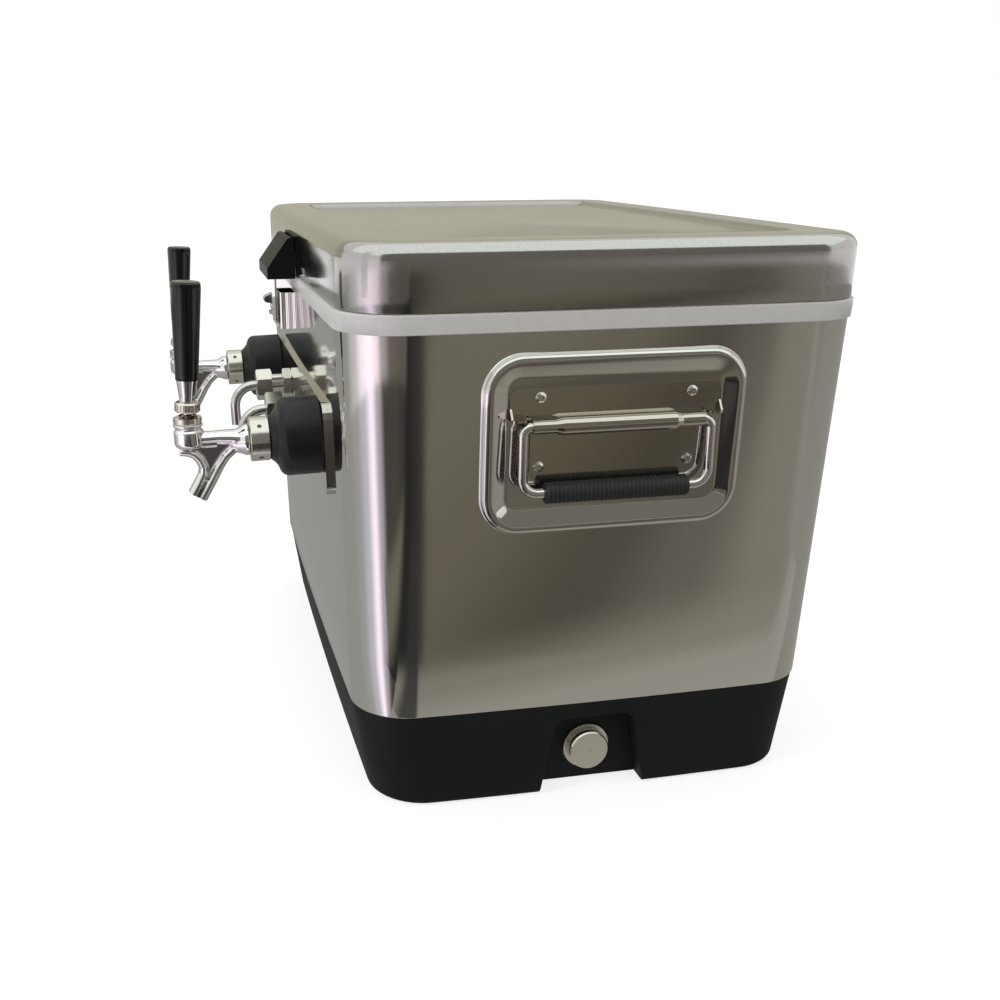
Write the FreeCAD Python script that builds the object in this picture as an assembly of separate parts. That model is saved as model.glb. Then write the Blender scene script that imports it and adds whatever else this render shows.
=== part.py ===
import FreeCAD, Part
import math
import os

# Two-tap draught cooler: a steel-belted picnic cooler with beer taps, inlets and cooling coils.
# Frame: origin at the middle of the flat underside, +Z up, the taps face -Y, millimetres.

V = FreeCAD.Vector

# ---------------------------------------------------------------- cooler body
BELT_LENGTH = 605.0
BELT_DEPTH = 410.0
BELT_BOTTOM = 80.0
BELT_TOP = 386.0
BELT_END_DRAFT = 16.2
BELT_FRONT_DRAFT = 8.2
CORNER_R = 48.0
CROWN = 2.0
BELT_SHEET = 1.2
BASE_END_DRAFT = 0.5
BASE_FRONT_DRAFT = 12.8
BASE_SETBACK = 1.0
BASE_WALL = 3.0
BASE_LIP = 8.0
BASE_EDGE_R = 5.0
RIM_HEIGHT = 15.0
RIM_PROUD = 1.0
WALL = 38.0
FLOOR = 22.0
LINER = 3.0
CAVITY_R = 32.0

# ---------------------------------------------------------------- lid
LID_GAP = 0.3
LID_HEIGHT = 49.0
LID_END_PROUD = 2.6
LID_END_FLARE = 2.4
LID_FRONT_SHORT = 0.5
LID_EDGE_R = 12.0
LID_SHEET = 1.2
PANEL_MARGIN_END = 46.0
PANEL_MARGIN_FRONT = 41.0
PANEL_DROP = 4.0
PANEL_SLOPE = 7.0
PANEL_R = 22.0
LID_LINER = 3.0
LID_HOLLOW = 12.0
LID_HOLLOW_MARGIN = 44.0

# ---------------------------------------------------------------- hinges and screws
HINGE_X = 170.0
HINGE_WIDTH = 60.0
HINGE_LEAF = 34.0
HINGE_STANDOFF = 6.0
KNUCKLE_R = 4.0
KNUCKLE_LENGTH = 20.0
HINGE_PIN_R = 2.0
LEAF_PROUD = 2.5
RUNNING = 0.06
PLAY = 0.3
SCREW_HEAD_R = 3.6
SCREW_HEAD = 2.2
SCREW_R = 1.9
SCREW_LENGTH = 11.0

# ---------------------------------------------------------------- latch
LATCH_WIDTH = 90.0
LATCH_PLATE = 3.0
LATCH_PLATE_HEIGHT = 34.0
LATCH_PIVOT_OUT = 7.4
LATCH_PIVOT_DROP = 18.0
LATCH_BARREL_R = 3.8
LATCH_PIN_R = 1.6
LATCH_EAR = 5.0
LATCH_EAR_X = 27.0
LATCH_REACH = 28.5
LATCH_NOSE_TOP = 409.5
LATCH_NOSE_BOTTOM = 400.0
LATCH_WALL = 2.6
TONGUE_WIDTH = 34.0
TONGUE_SHEET = 1.6
TONGUE_BOTTOM = 356.0
STRIKE_WIDTH = 40.0
STRIKE_DEPTH = 17.5
STRIKE_HEIGHT = 33.0
STRIKE_TOP = 385.0
STRIKE_SHEET = 2.0
STRIKE_R = 7.0

# ---------------------------------------------------------------- bottle opener
OPENER_IN = 69.5
OPENER_Z = 345.0
OPENER_WIDTH = 26.0
OPENER_HEIGHT = 29.0
OPENER_PLATE = 3.0
OPENER_REACH = 12.5
OPENER_LIP_WIDTH = 18.0
OPENER_SCREW_X = 8.0

# ---------------------------------------------------------------- taps
TAP_X = 165.0
TAP_Z = 286.5
PLATE_LENGTH = 394.0
PLATE_ABOVE = 30.5
PLATE_BELOW = 46.5
PLATE_SHEET = 3.0
PLATE_R = 12.0
COLLAR_R = 32.2
COLLAR_LENGTH = 34.5
COLLAR_EDGE_R = 7.0
COLLAR_RING_R = 17.0
COLLAR_RING = 6.5
SHANK_R = 11.1
SHANK_HEAD_R = 14.2
SHANK_HEAD = 15.9
SHANK_BORE_R = 4.0
SHANK_SEAT_R = 8.3
SHANK_SEAT_DEPTH = 15.0
SHANK_TAIL = 22.0
NUT_R = 18.35
NUT_LENGTH = 16.0
NUT_LIP = 3.4
SPANNER_HOLE_R = 1.9
TAIL_R = 13.3
NECK_R = 10.4
BACK_NUT_FLATS = 32.0
BACK_NUT = 8.0

# faucet casting, measured outwards from the face plate and up from the shank's axis
BODY_REACH = 105.5
BODY_R = 12.0
BODY_TOP = 17.0
BODY_BOTTOM = 8.0
BARREL_R = 9.4
CASTING_HALF = 9.1
THROAT = 9.0
SPOUT_TIP = (103.0, -43.0)
SPOUT_LEAN = 31.6
SPOUT_R = 9.1
SPOUT_BORE_R = 6.3
SPOUT_MOUTH = 18.0
SPOUT_THROAT_R = 5.6
SHAFT_BORE_R = 5.2
WEB_POCKET = 1.6
SHAFT_R = 5.1
SHAFT_NOSE = 7.0
WASHER_R = 7.5
WASHER = 2.5
STEM_WELL_R = 7.3

# tap lever, measured up from its ball
BALL_UP = 18.0
BALL_R = 6.8
NECK_STEM_R = 3.4
TIP_R = 3.2
TIP_ROD_R = 1.7
LEVER_LEAN = 4.1
BONNET_R = 11.5
BONNET_HEIGHT = 7.0
BONNET_HOLE_R = 6.6
JAM_UP = 8.6
JAM_R = 10.3
JAM = 8.0
FERRULE = 17.8
FERRULE_LOW_R = 6.2
FERRULE_TOP_R = 8.6
KNOB = 78.0
KNOB_LOW_R = 8.9
KNOB_TOP_R = 12.0
KNOB_DOME = 2.0
THREAD_R = 4.75
THREAD_IN_KNOB = 16.0

# ---------------------------------------------------------------- beer inlets and coils
INLET_X = 57.0
INLET_R = 10.0
INLET_BORE_R = 3.2
INLET_REACH = 26.0
INLET_TAIL = 14.0
LOCK_NUT_FLATS = 26.0
LOCK_NUT = 8.8
HEX_NUT_FLATS = 27.0
HEX_NUT = 15.5
HEX_NUT_START = 19.4
ELBOW_R = 4.75
ELBOW_BEND = 20.0
ELBOW_OUT = 57.0
ELBOW_DROP = 38.0
COIL_TUBE_R = 4.0
COIL_PITCH = 11.0
COIL_HALF_TURNS = 31
COIL_Y = 10.0
COIL_BOTTOM = 55.0
COIL_BEND = 20.0
COIL_DROP = 100.0
UNION_FLATS = 20.0
UNION = 14.0
STAND_RING_W = 18.0
STAND_RING = 4.0
STAND_LEG_R = 5.0
STAND_LEGS = 3

# ---------------------------------------------------------------- end handles
PAN_Z = 301.5
PAN_WIDTH = 204.5
PAN_HEIGHT = 138.0
PAN_R = 30.0
PAN_PROUD = 4.2
PAN_FLOOR_WIDTH = 168.0
PAN_FLOOR_HEIGHT = 101.0
PAN_FLOOR_R = 9.0
PAN_CREST = 9.0
PAN_EDGE_R = 3.4
GRIP_PLATE = 1.5
GRIP_PLATE_TOP = 43.5
GRIP_PLATE_STEP = 20.5
GRIP_PLATE_BOTTOM = -28.0
GRIP_PLATE_HALF_TOP = 82.5
GRIP_PLATE_HALF_LOW = 66.0
BAIL_UP = 16.0
BAIL_OUT = 7.6
BAIL_R = 3.75
BAIL_HALF = 73.5
BAIL_DROP = 50.5
BAIL_TOP_BEND = 6.4
BAIL_LOW_BEND = 12.0
BAIL_TENON = 22.0
ROLL_END_R = 5.3
ROLL_MID_R = 7.0
ROLL_MID_HALF = 44.0
ROLL_TAPER = 5.0
ROLL_HALF = 66.8
TAB_IN = 70.5
TAB_OUT = 9.0
TAB_GAP = 0.5
GRIP_R = 8.2
GRIP_HALF = 56.0
GRIP_RIB = 0.6
GRIP_RIBS = 34
RIVET_Y = 59.0
RIVET_UP = (36.5, -16.5)
RIVET_R = 2.0
RIVET_HEAD_R = 4.2
RIVET_HEAD = 1.8
RIVET_GRIP = 5.0

# ---------------------------------------------------------------- drain
DRAIN_Z = 30.0
NOTCH_DEPTH = 22.3
NOTCH_TOP = 66.5
NOTCH_TOP_WIDTH = 66.0
NOTCH_LOW_WIDTH = 94.0
NOTCH_R = 9.0
DRAIN_BORE_R = 5.5
DRAIN_TUBE_R = 7.8
DRAIN_FLANGE_R = 21.0
DRAIN_FLANGE = 2.5
DRAIN_NIPPLE_R = 9.8
DRAIN_NIPPLE = 6.0
DRAIN_BOSS_R = 10.6
DRAIN_BOSS = 9.0
DRAIN_TAIL = 1.0
CAP_R = 16.8
CAP_WALL = 2.0
SEAL = 1.2

# ---------------------------------------------------------------- values worked out from the sizes above
RIM_TOP = BELT_TOP + RIM_HEIGHT
LID_BOTTOM = RIM_TOP + LID_GAP
LID_TOP = RIM_TOP + LID_HEIGHT
FRONT_ANGLE = math.degrees(math.atan(BELT_FRONT_DRAFT / (BELT_TOP - BELT_BOTTOM)))
END_ANGLE = math.degrees(math.atan(BELT_END_DRAFT / (BELT_TOP - BELT_BOTTOM)))
INNER_FACE = WALL * math.cos(math.radians(FRONT_ANGLE))
COLLAR_TOTAL = COLLAR_LENGTH + COLLAR_RING
NUT_START = COLLAR_TOTAL + PLAY
SHANK_END = NUT_START + NUT_LENGTH - NUT_LIP - 8.0
NUT_END = NUT_START + NUT_LENGTH
NOTCH_X = BELT_LENGTH / 2 - BELT_END_DRAFT - NOTCH_DEPTH
OPENER_X = OPENER_IN - BELT_LENGTH / 2
EPS = 1.0
SEAM_TURN = 37.0


def belt_size(z, inset):
    """Length and depth of the belt's outline at height z, moved in by inset on every side."""
    share = (BELT_TOP - z) / (BELT_TOP - BELT_BOTTOM)
    length = BELT_LENGTH - 2 * BELT_END_DRAFT * share - 2 * inset
    depth = BELT_DEPTH - 2 * BELT_FRONT_DRAFT * share - 2 * inset
    return length, depth


def base_size(z, inset):
    """The same for the moulded base below the belt."""
    share = (BELT_BOTTOM - z) / BELT_BOTTOM
    length, depth = belt_size(BELT_BOTTOM, inset)
    return length - 2 * BASE_END_DRAFT * share, depth - 2 * BASE_FRONT_DRAFT * share


def lid_size(z, inset):
    """The same for the lid, whose ends flare a little towards the top."""
    share = (z - RIM_TOP) / LID_HEIGHT
    length = BELT_LENGTH + 2 * (LID_END_PROUD + LID_END_FLARE * share) - 2 * inset
    return length, BELT_DEPTH - 2 * LID_FRONT_SHORT - 2 * inset


def arc(a, b, c):
    return Part.Arc(a, b, c).toShape()


def crowned(length, depth, radius, z):
    """Plan outline with crowned sides and round corners, as one wire of eight arcs."""
    a = length / 2
    b = depth / 2
    front_r = ((a - radius) ** 2 + CROWN ** 2) / (2 * CROWN)
    end_r = ((b - radius) ** 2 + CROWN ** 2) / (2 * CROWN)
    fy = front_r - b
    ex = a - end_r
    gap = math.hypot(ex, fy)
    p = front_r - radius
    q = end_r - radius
    along = (p * p - q * q + gap * gap) / (2 * gap)
    across = math.sqrt(p * p - along * along)
    ux = ex / gap
    uy = -fy / gap
    cx, cy = max(
        (along * ux - s * across * uy, fy + along * uy + s * across * ux) for s in (-1, 1)
    )
    fx = cx * front_r / p
    f_y = fy + (cy - fy) * front_r / p
    e_x = ex + (cx - ex) * end_r / q
    e_y = cy * end_r / q
    mid = V(fx + e_x - 2 * cx, f_y + e_y - 2 * cy, 0).normalize() * radius
    mx = cx + mid.x
    my = cy + mid.y
    edges = [
        arc(V(-fx, f_y, z), V(0, -b, z), V(fx, f_y, z)),
        arc(V(fx, f_y, z), V(mx, my, z), V(e_x, e_y, z)),
        arc(V(e_x, e_y, z), V(a, 0, z), V(e_x, -e_y, z)),
        arc(V(e_x, -e_y, z), V(mx, -my, z), V(fx, -f_y, z)),
        arc(V(fx, -f_y, z), V(0, b, z), V(-fx, -f_y, z)),
        arc(V(-fx, -f_y, z), V(-mx, -my, z), V(-e_x, -e_y, z)),
        arc(V(-e_x, -e_y, z), V(-a, 0, z), V(-e_x, e_y, z)),
        arc(V(-e_x, e_y, z), V(-mx, my, z), V(-fx, f_y, z)),
    ]
    return Part.Wire(edges)


def rounded(length, depth, radius, z):
    """Plan outline with straight sides and round corners."""
    a = length / 2
    b = depth / 2
    r = radius
    k = r * (1 - math.sqrt(0.5))
    edges = [
        Part.LineSegment(V(r - a, -b, z), V(a - r, -b, z)).toShape(),
        arc(V(a - r, -b, z), V(a - k, k - b, z), V(a, r - b, z)),
        Part.LineSegment(V(a, r - b, z), V(a, b - r, z)).toShape(),
        arc(V(a, b - r, z), V(a - k, b - k, z), V(a - r, b, z)),
        Part.LineSegment(V(a - r, b, z), V(r - a, b, z)).toShape(),
        arc(V(r - a, b, z), V(k - a, b - k, z), V(-a, b - r, z)),
        Part.LineSegment(V(-a, b - r, z), V(-a, r - b, z)).toShape(),
        arc(V(-a, r - b, z), V(k - a, k - b, z), V(r - a, -b, z)),
    ]
    return Part.Wire(edges)


def block(size, low, high, inset, radius, outline=crowned):
    """Tapered solid between two heights."""
    wires = [outline(*size(z, inset), radius, z) for z in (low, high)]
    return Part.makeLoft(wires, True, True)


def fuse(shapes):
    """One solid from touching or overlapping shapes."""
    return shapes[0].multiFuse(shapes[1:]).removeSplitter()


def cylinder(radius, start, end):
    """Round bar between two points, its seam turned away from the main planes."""
    way = end - start
    bar = Part.makeCylinder(radius, way.Length, start, way)
    bar.rotate(start, way, SEAM_TURN)
    return bar


def revolved(profile, centre=V(0, 0, 0), axis=V(0, 0, 1)):
    """Solid of revolution from (radius, height) pairs about an axis."""
    points = [V(r, 0, h) for r, h in profile]
    face = Part.Face(Part.makePolygon(points + points[:1]))
    solid = face.revolve(V(0, 0, 0), V(0, 0, 1), 360)
    solid.Placement = FreeCAD.Placement(centre, FreeCAD.Rotation(V(0, 0, 1), axis))
    return solid


def hexagon(flats, start, end, bore_r):
    """Hexagon nut between two points on its axis, corners chamfered, with a round bore."""
    way = end - start
    length = way.Length
    corner = flats / math.sqrt(3)
    points = [
        V(corner * math.cos(math.radians(60 * k + 30)), corner * math.sin(math.radians(60 * k + 30)), 0)
        for k in range(6)
    ]
    prism = Part.Face(Part.makePolygon(points + points[:1])).extrude(V(0, 0, length))
    cut = (corner - flats / 2) * 0.9
    cone = revolved([
        (0, 0), (corner - cut, 0), (corner + 0.1, cut * 0.6), (corner + 0.1, length - cut * 0.6),
        (corner - cut, length), (0, length),
    ])
    nut = prism.common(cone).cut(Part.makeCylinder(bore_r, length + 2 * EPS, V(0, 0, -EPS)))
    nut.Placement = FreeCAD.Placement(start, FreeCAD.Rotation(V(0, 0, 1), way))
    return nut


def tube(points, bends, radius):
    """Round bar along straight runs joined by tangent arcs at the inner points."""
    edges = []
    last = points[0]
    for corner, after, bend in zip(points[1:-1], points[2:], bends):
        back = (last - corner).normalize()
        on = (after - corner).normalize()
        half = back.getAngle(on) / 2
        reach = bend / math.tan(half)
        inner = (back + on).normalize()
        middle = corner + inner * (bend / math.sin(half) - bend)
        start = corner + back * reach
        edges.append(Part.LineSegment(last, start).toShape())
        edges.append(arc(start, middle, corner + on * reach))
        last = corner + on * reach
    edges.append(Part.LineSegment(last, points[-1]).toShape())
    way = points[1] - points[0]
    ring = Part.Wire(Part.Circle(points[0], way, radius).toShape())
    return Part.Wire(edges).makePipeShell([ring], True, False)


def at_front(shape):
    """From the front's own frame (origin on the belt at tap height, -Y outwards) to the cooler's."""
    y = -belt_size(TAP_Z, 0)[1] / 2
    placed = shape.copy()
    placed.rotate(V(0, 0, 0), V(1, 0, 0), FRONT_ANGLE)
    placed.translate(V(0, y, TAP_Z))
    return placed


def at_end(shape, side):
    """From an end's own frame (origin on the belt at the pan's middle, +X outwards) to the cooler's."""
    placed = shape.copy()
    placed.rotate(V(0, 0, 0), V(0, 1, 0), END_ANGLE)
    placed.translate(V(belt_size(PAN_Z, 0)[0] / 2, 0, PAN_Z))
    if side < 0:
        placed.rotate(V(0, 0, 0), V(0, 0, 1), 180)
    return placed


def box(x0, x1, y0, y1, z0, z1):
    return Part.makeBox(x1 - x0, y1 - y0, z1 - z0, V(x0, y0, z0))


def screw(seat, way):
    """Pan-head screw: seat is where the head meets the work, way points into the work."""
    head = revolved(
        [(0, 0), (SCREW_HEAD_R, 0), (SCREW_HEAD_R, SCREW_HEAD * 0.5), (SCREW_HEAD_R * 0.6, SCREW_HEAD),
         (0, SCREW_HEAD)], seat, way * -1)
    slot = Part.makeBox(0.9, SCREW_HEAD_R * 2.2, 1.2, V(-0.45, -SCREW_HEAD_R * 1.1, SCREW_HEAD - 0.8))
    slot.Placement = FreeCAD.Placement(seat, FreeCAD.Rotation(V(0, 0, 1), way * -1))
    return fuse([head, screw_shank(seat, way)]).cut(slot)


def screw_shank(seat, way):
    return cylinder(SCREW_R, seat, seat + way * SCREW_LENGTH)


# ---------------------------------------------------------------- body shells

def notch(grow):
    """Recess in the right end of the base that the drain sits in, wider towards the floor."""
    top = NOTCH_TOP + grow
    half_top = NOTCH_TOP_WIDTH / 2 + grow
    slope = (NOTCH_LOW_WIDTH - NOTCH_TOP_WIDTH) / 2 / NOTCH_TOP
    half_low = half_top + slope * (top + EPS)
    x = NOTCH_X - grow
    points = [V(x, -half_low, -EPS), V(x, half_low, -EPS), V(x, half_top, top), V(x, -half_top, top)]
    prism = Part.Face(Part.makePolygon(points + points[:1])).extrude(V(BELT_LENGTH / 2, 0, 0))
    tops = [e for e in prism.Edges if is_notch_corner(e, top)]
    return prism.makeFillet(NOTCH_R, tops)


def is_notch_corner(edge, top):
    a, b = (v.Point for v in edge.Vertexes)
    return abs(a.z - top) < 0.01 and abs(b.z - top) < 0.01 and abs(a.y - b.y) < 0.01


def inner_space():
    """Everything inside the outer skins, up to the belt's top: the foam fills it round the liner."""
    lip = BELT_BOTTOM + BASE_LIP
    inset = BASE_SETBACK + BASE_WALL
    low = block(base_size, BASE_WALL, BELT_BOTTOM, inset, CORNER_R - inset)
    lowest = [e for e in low.Edges if e.BoundBox.ZMax < BASE_WALL + 0.01]
    low = low.makeFillet(BASE_EDGE_R - BASE_WALL, lowest)
    middle = block(belt_size, BELT_BOTTOM, lip, inset, CORNER_R - inset)
    high = block(belt_size, lip, BELT_TOP, BELT_SHEET, CORNER_R - BELT_SHEET)
    return fuse([low, middle, high]).cut(notch(BASE_WALL))


def base_tub():
    outer = block(base_size, 0, BELT_BOTTOM, BASE_SETBACK, CORNER_R - BASE_SETBACK)
    outer = outer.makeFillet(BASE_EDGE_R, [e for e in outer.Edges if e.BoundBox.ZMax < 0.01])
    lip_top = BELT_BOTTOM + BASE_LIP
    lip = block(belt_size, BELT_BOTTOM, lip_top, BELT_SHEET, CORNER_R - BELT_SHEET)
    tub = fuse([outer, lip]).cut(notch(0))
    return tub.cut(inner_space()).cut(drain_hole())


def pan_ring():
    """Raised picture-frame bead pressed round the handle, in the end's own frame."""
    turn = FreeCAD.Placement(V(0, 0, 0), FreeCAD.Rotation(V(0, 0, 1), V(1, 0, 0)))
    sunk = 2 * CROWN
    outer = Part.Face(rounded(PAN_HEIGHT, PAN_WIDTH, PAN_R, -sunk)).extrude(V(0, 0, PAN_PROUD + sunk))
    rim = [e for e in outer.Edges if e.BoundBox.ZMin > PAN_PROUD - 0.01]
    outer = outer.makeFillet(PAN_EDGE_R, rim)
    slope_w = (PAN_WIDTH - PAN_FLOOR_WIDTH) / 2 - PAN_CREST
    slope_h = (PAN_HEIGHT - PAN_FLOOR_HEIGHT) / 2 - PAN_CREST
    wires = []
    for height in (-3 * CROWN, PAN_PROUD + EPS):
        grow = height / PAN_PROUD
        wires.append(rounded(PAN_FLOOR_HEIGHT + 2 * slope_h * grow, PAN_FLOOR_WIDTH + 2 * slope_w * grow,
                             PAN_FLOOR_R + max(grow, -0.4) * PAN_CREST, height))
    ring = outer.cut(Part.makeLoft(wires, True, True))
    ring.Placement = turn
    return ring


def steel_belt():
    outer = block(belt_size, BELT_BOTTOM, BELT_TOP, 0, CORNER_R)
    inner = block(belt_size, BELT_BOTTOM - EPS, BELT_TOP + EPS, BELT_SHEET, CORNER_R - BELT_SHEET)
    belt = outer.cut(inner)
    for side in (1, -1):
        belt = belt.fuse(at_end(pan_ring(), side).cut(inner))
    return belt.removeSplitter().cut(wall_cuts())


def cavity(inset, floor, top, radius):
    return block(belt_size, floor, top, inset, radius, rounded)


def inner_liner():
    """White inner tub with a broad rim that caps the belt and the foam."""
    cup = cavity(WALL - LINER, FLOOR - LINER, BELT_TOP, CAVITY_R + LINER)
    rim = block(belt_size, BELT_TOP, RIM_TOP, -RIM_PROUD, CORNER_R + RIM_PROUD)
    rim = rim.makeFillet(1.8, [e for e in rim.Edges if e.BoundBox.ZMin > RIM_TOP - 0.01])
    solid = fuse([cup, rim]).cut(rim_foam()).fuse(drain_boss())
    return solid.cut(cavity(WALL, FLOOR, RIM_TOP + EPS, CAVITY_R)).cut(wall_cuts())


def rim_foam():
    outer = block(belt_size, BELT_TOP, RIM_TOP - LINER, LINER, CORNER_R - LINER)
    return outer.cut(cavity(WALL - LINER, BELT_TOP - EPS, RIM_TOP, CAVITY_R + LINER))


def drain_wall_x():
    """Where the cavity's right end wall stands at the drain's height."""
    return belt_size(DRAIN_Z, WALL)[0] / 2


def drain_boss():
    """Thick round pad behind the liner's end wall that the drain screws into."""
    start = drain_wall_x() + LINER / 2
    return cylinder(DRAIN_BOSS_R, V(start, 0, DRAIN_Z), V(drain_wall_x() + DRAIN_BOSS, 0, DRAIN_Z))


def drain_hole():
    return cylinder(DRAIN_TUBE_R, V(0, 0, DRAIN_Z), V(BELT_LENGTH, 0, DRAIN_Z))


def foam_core():
    core = inner_space()
    liner_outside = cavity(WALL - LINER, FLOOR - LINER, BELT_TOP, CAVITY_R + LINER)
    core = core.cut(liner_outside.fuse(drain_boss()))
    return core.fuse(rim_foam()).removeSplitter().cut(wall_cuts())


def wall_cuts():
    """Everything that passes through the cooler's walls."""
    cuts = []
    deep = WALL + 3 * EPS
    for side in (1, -1):
        for x, radius in ((side * TAP_X, SHANK_R), (side * INLET_X, INLET_R)):
            cuts.append(at_front(cylinder(radius + PLAY, out(EPS, x), V(x, deep, 0))))
        cuts += [at_end(rivet_shank(y, up), side) for y in (-RIVET_Y, RIVET_Y) for up in RIVET_UP]
    cuts += [screw_shank(seat, way) for seat, way in body_screw_places()]
    cuts.append(drain_hole())
    return Part.makeCompound(cuts)


# ---------------------------------------------------------------- lid

def lid_volume(inset, low, edge_r):
    """The lid's outside, or the space inside its skin."""
    high = LID_TOP - inset
    solid = block(lid_size, low, high, inset, CORNER_R - inset)
    rim = [e for e in solid.Edges if e.BoundBox.ZMin > high - 0.01]
    solid = solid.makeFillet(edge_r, rim)
    length, depth = lid_size(LID_TOP, 0)
    wires = []
    for z, grow in ((LID_TOP - PANEL_DROP - inset, 0), (LID_TOP + EPS, PANEL_SLOPE)):
        spread = 2 * grow - 0.8 * inset
        wires.append(rounded(length - 2 * PANEL_MARGIN_END + spread, depth - 2 * PANEL_MARGIN_FRONT + spread,
                             PANEL_R + grow, z))
    return solid.cut(Part.makeLoft(wires, True, True))


def lid_skin():
    outer = lid_volume(0, LID_BOTTOM, LID_EDGE_R)
    inner = lid_volume(LID_SHEET, LID_BOTTOM - EPS, LID_EDGE_R - LID_SHEET)
    return outer.cut(inner).cut(lid_cuts())


def lid_hollow():
    """Shallow hollow in the lid's white underside."""
    length, depth = lid_size(LID_BOTTOM, LID_HOLLOW_MARGIN)
    wires = [rounded(length, depth, CAVITY_R, LID_BOTTOM - EPS),
             rounded(length - LID_HOLLOW, depth - LID_HOLLOW, CAVITY_R - 6, LID_BOTTOM + LID_HOLLOW)]
    return Part.makeLoft(wires, True, True)


def lid_dome():
    """Outside of the hollow's walls, which the foam fits round."""
    length, depth = lid_size(LID_BOTTOM, LID_HOLLOW_MARGIN - LID_LINER)
    wires = [rounded(length, depth, CAVITY_R + LID_LINER, LID_BOTTOM),
             rounded(length - LID_HOLLOW, depth - LID_HOLLOW, CAVITY_R - 3, LID_BOTTOM + LID_HOLLOW + LID_LINER)]
    return Part.makeLoft(wires, True, True)


def lid_liner():
    sheet = block(lid_size, LID_BOTTOM, LID_BOTTOM + LID_LINER, LID_SHEET, CORNER_R - LID_SHEET)
    return fuse([sheet, lid_dome()]).cut(lid_hollow())


def lid_foam():
    space = lid_volume(LID_SHEET, LID_BOTTOM + LID_LINER, LID_EDGE_R - LID_SHEET)
    return space.cut(lid_dome()).cut(lid_cuts())


def lid_cuts():
    return Part.makeCompound([screw_shank(seat, way) for seat, way in lid_screw_places()])


# ---------------------------------------------------------------- hinges and screws

def pivot_y():
    return BELT_DEPTH / 2 + HINGE_STANDOFF


def pivot_z():
    return BELT_TOP + RIM_HEIGHT / 2


def knuckle(x0, x1, bore_r, leaf_z):
    """Round knuckle with the web that ties it to its leaf."""
    y = pivot_y()
    z = pivot_z()
    web = box(x0, x1, y - KNUCKLE_R, y, min(z, leaf_z), max(z, leaf_z))
    ring = cylinder(KNUCKLE_R, V(x0, y, z), V(x1, y, z))
    return fuse([ring, web]).cut(cylinder(bore_r, V(x0 - EPS, y, z), V(x1 + EPS, y, z)))


def hinge_body_leaf(x):
    half = HINGE_WIDTH / 2
    face = BELT_DEPTH / 2 + LEAF_PROUD
    plate = box(x - half, x + half, face - 6, face, BELT_TOP - HINGE_LEAF, BELT_TOP - PLAY)
    plate = plate.cut(block(belt_size, BELT_BOTTOM, BELT_TOP, 0, CORNER_R))
    inner = KNUCKLE_LENGTH / 2
    knuckles = [
        knuckle(x + s * inner if s > 0 else x - half, x + half if s > 0 else x - inner,
                HINGE_PIN_R, BELT_TOP - 5) for s in (-1, 1)
    ]
    bridge = box(x - half, x + half, pivot_y() - KNUCKLE_R, face, BELT_TOP - 5, BELT_TOP - PLAY)
    leaf = fuse([plate, bridge] + knuckles)
    return leaf.cut(Part.makeCompound([screw_shank(*place) for place in body_hinge_screws(x)]))


def hinge_lid_leaf(x):
    half = HINGE_WIDTH / 2
    face = BELT_DEPTH / 2 + LEAF_PROUD
    low = LID_BOTTOM + 1.0
    plate = box(x - half, x + half, face - 6, face, low, low + HINGE_LEAF)
    plate = plate.cut(lid_block())
    inner = KNUCKLE_LENGTH / 2 - PLAY
    ring = knuckle(x - inner, x + inner, HINGE_PIN_R + RUNNING, low + 4)
    leaf = fuse([plate, ring])
    return leaf.cut(Part.makeCompound([screw_shank(*place) for place in lid_hinge_screws(x)]))


def lid_block():
    return block(lid_size, LID_BOTTOM, LID_TOP, 0, CORNER_R)


def hinge_pin(x):
    half = HINGE_WIDTH / 2 + 1.5
    return cylinder(HINGE_PIN_R, V(x - half, pivot_y(), pivot_z()), V(x + half, pivot_y(), pivot_z()))


def body_hinge_screws(x):
    y = BELT_DEPTH / 2 + LEAF_PROUD
    z = BELT_TOP - HINGE_LEAF * 0.62
    return [(V(x + dx, y, z), V(0, -1, 0)) for dx in (-HINGE_WIDTH / 3, HINGE_WIDTH / 3)]


def lid_hinge_screws(x):
    y = BELT_DEPTH / 2 + LEAF_PROUD
    z = LID_BOTTOM + 1.0 + HINGE_LEAF * 0.62
    return [(V(x + dx, y, z), V(0, -1, 0)) for dx in (-HINGE_WIDTH / 3, HINGE_WIDTH / 3)]


def strike_screws():
    y = -belt_size(strike_middle(), 0)[1] / 2 - STRIKE_SHEET
    return [(V(x, y, strike_middle()), V(0, 1, 0)) for x in (-9.0, 9.0)]


def opener_screws():
    y = -belt_size(OPENER_Z, 0)[1] / 2 - OPENER_PLATE + 1.2
    z = OPENER_Z - 4.5
    return [(V(OPENER_X + dx, y, z), V(0, 1, 0)) for dx in (-OPENER_SCREW_X, OPENER_SCREW_X)]


def bracket_screws():
    y = -lid_size(RIM_TOP, 0)[1] / 2 - LATCH_PLATE
    z = latch_pivot().z - 13.0
    return [(V(x, y, z), V(0, 1, 0)) for x in (-36.0, 36.0)]


def body_screw_places():
    hinges = [place for x in (-HINGE_X, HINGE_X) for place in body_hinge_screws(x)]
    return hinges + strike_screws() + opener_screws()


def lid_screw_places():
    hinges = [place for x in (-HINGE_X, HINGE_X) for place in lid_hinge_screws(x)]
    return hinges + bracket_screws()


# ---------------------------------------------------------------- latch, strike and opener

def lid_front_y():
    return -lid_size(RIM_TOP, 0)[1] / 2


def latch_pivot():
    return V(0, lid_front_y() - LATCH_PIVOT_OUT, LID_TOP - LATCH_PIVOT_DROP)


def side_prism(profile, x0, x1, base_y):
    """Prism along X from (distance out from base_y, height) pairs."""
    points = [V(x0, base_y - out, z) for out, z in profile]
    return Part.Face(Part.makePolygon(points + points[:1])).extrude(V(x1 - x0, 0, 0))


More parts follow.
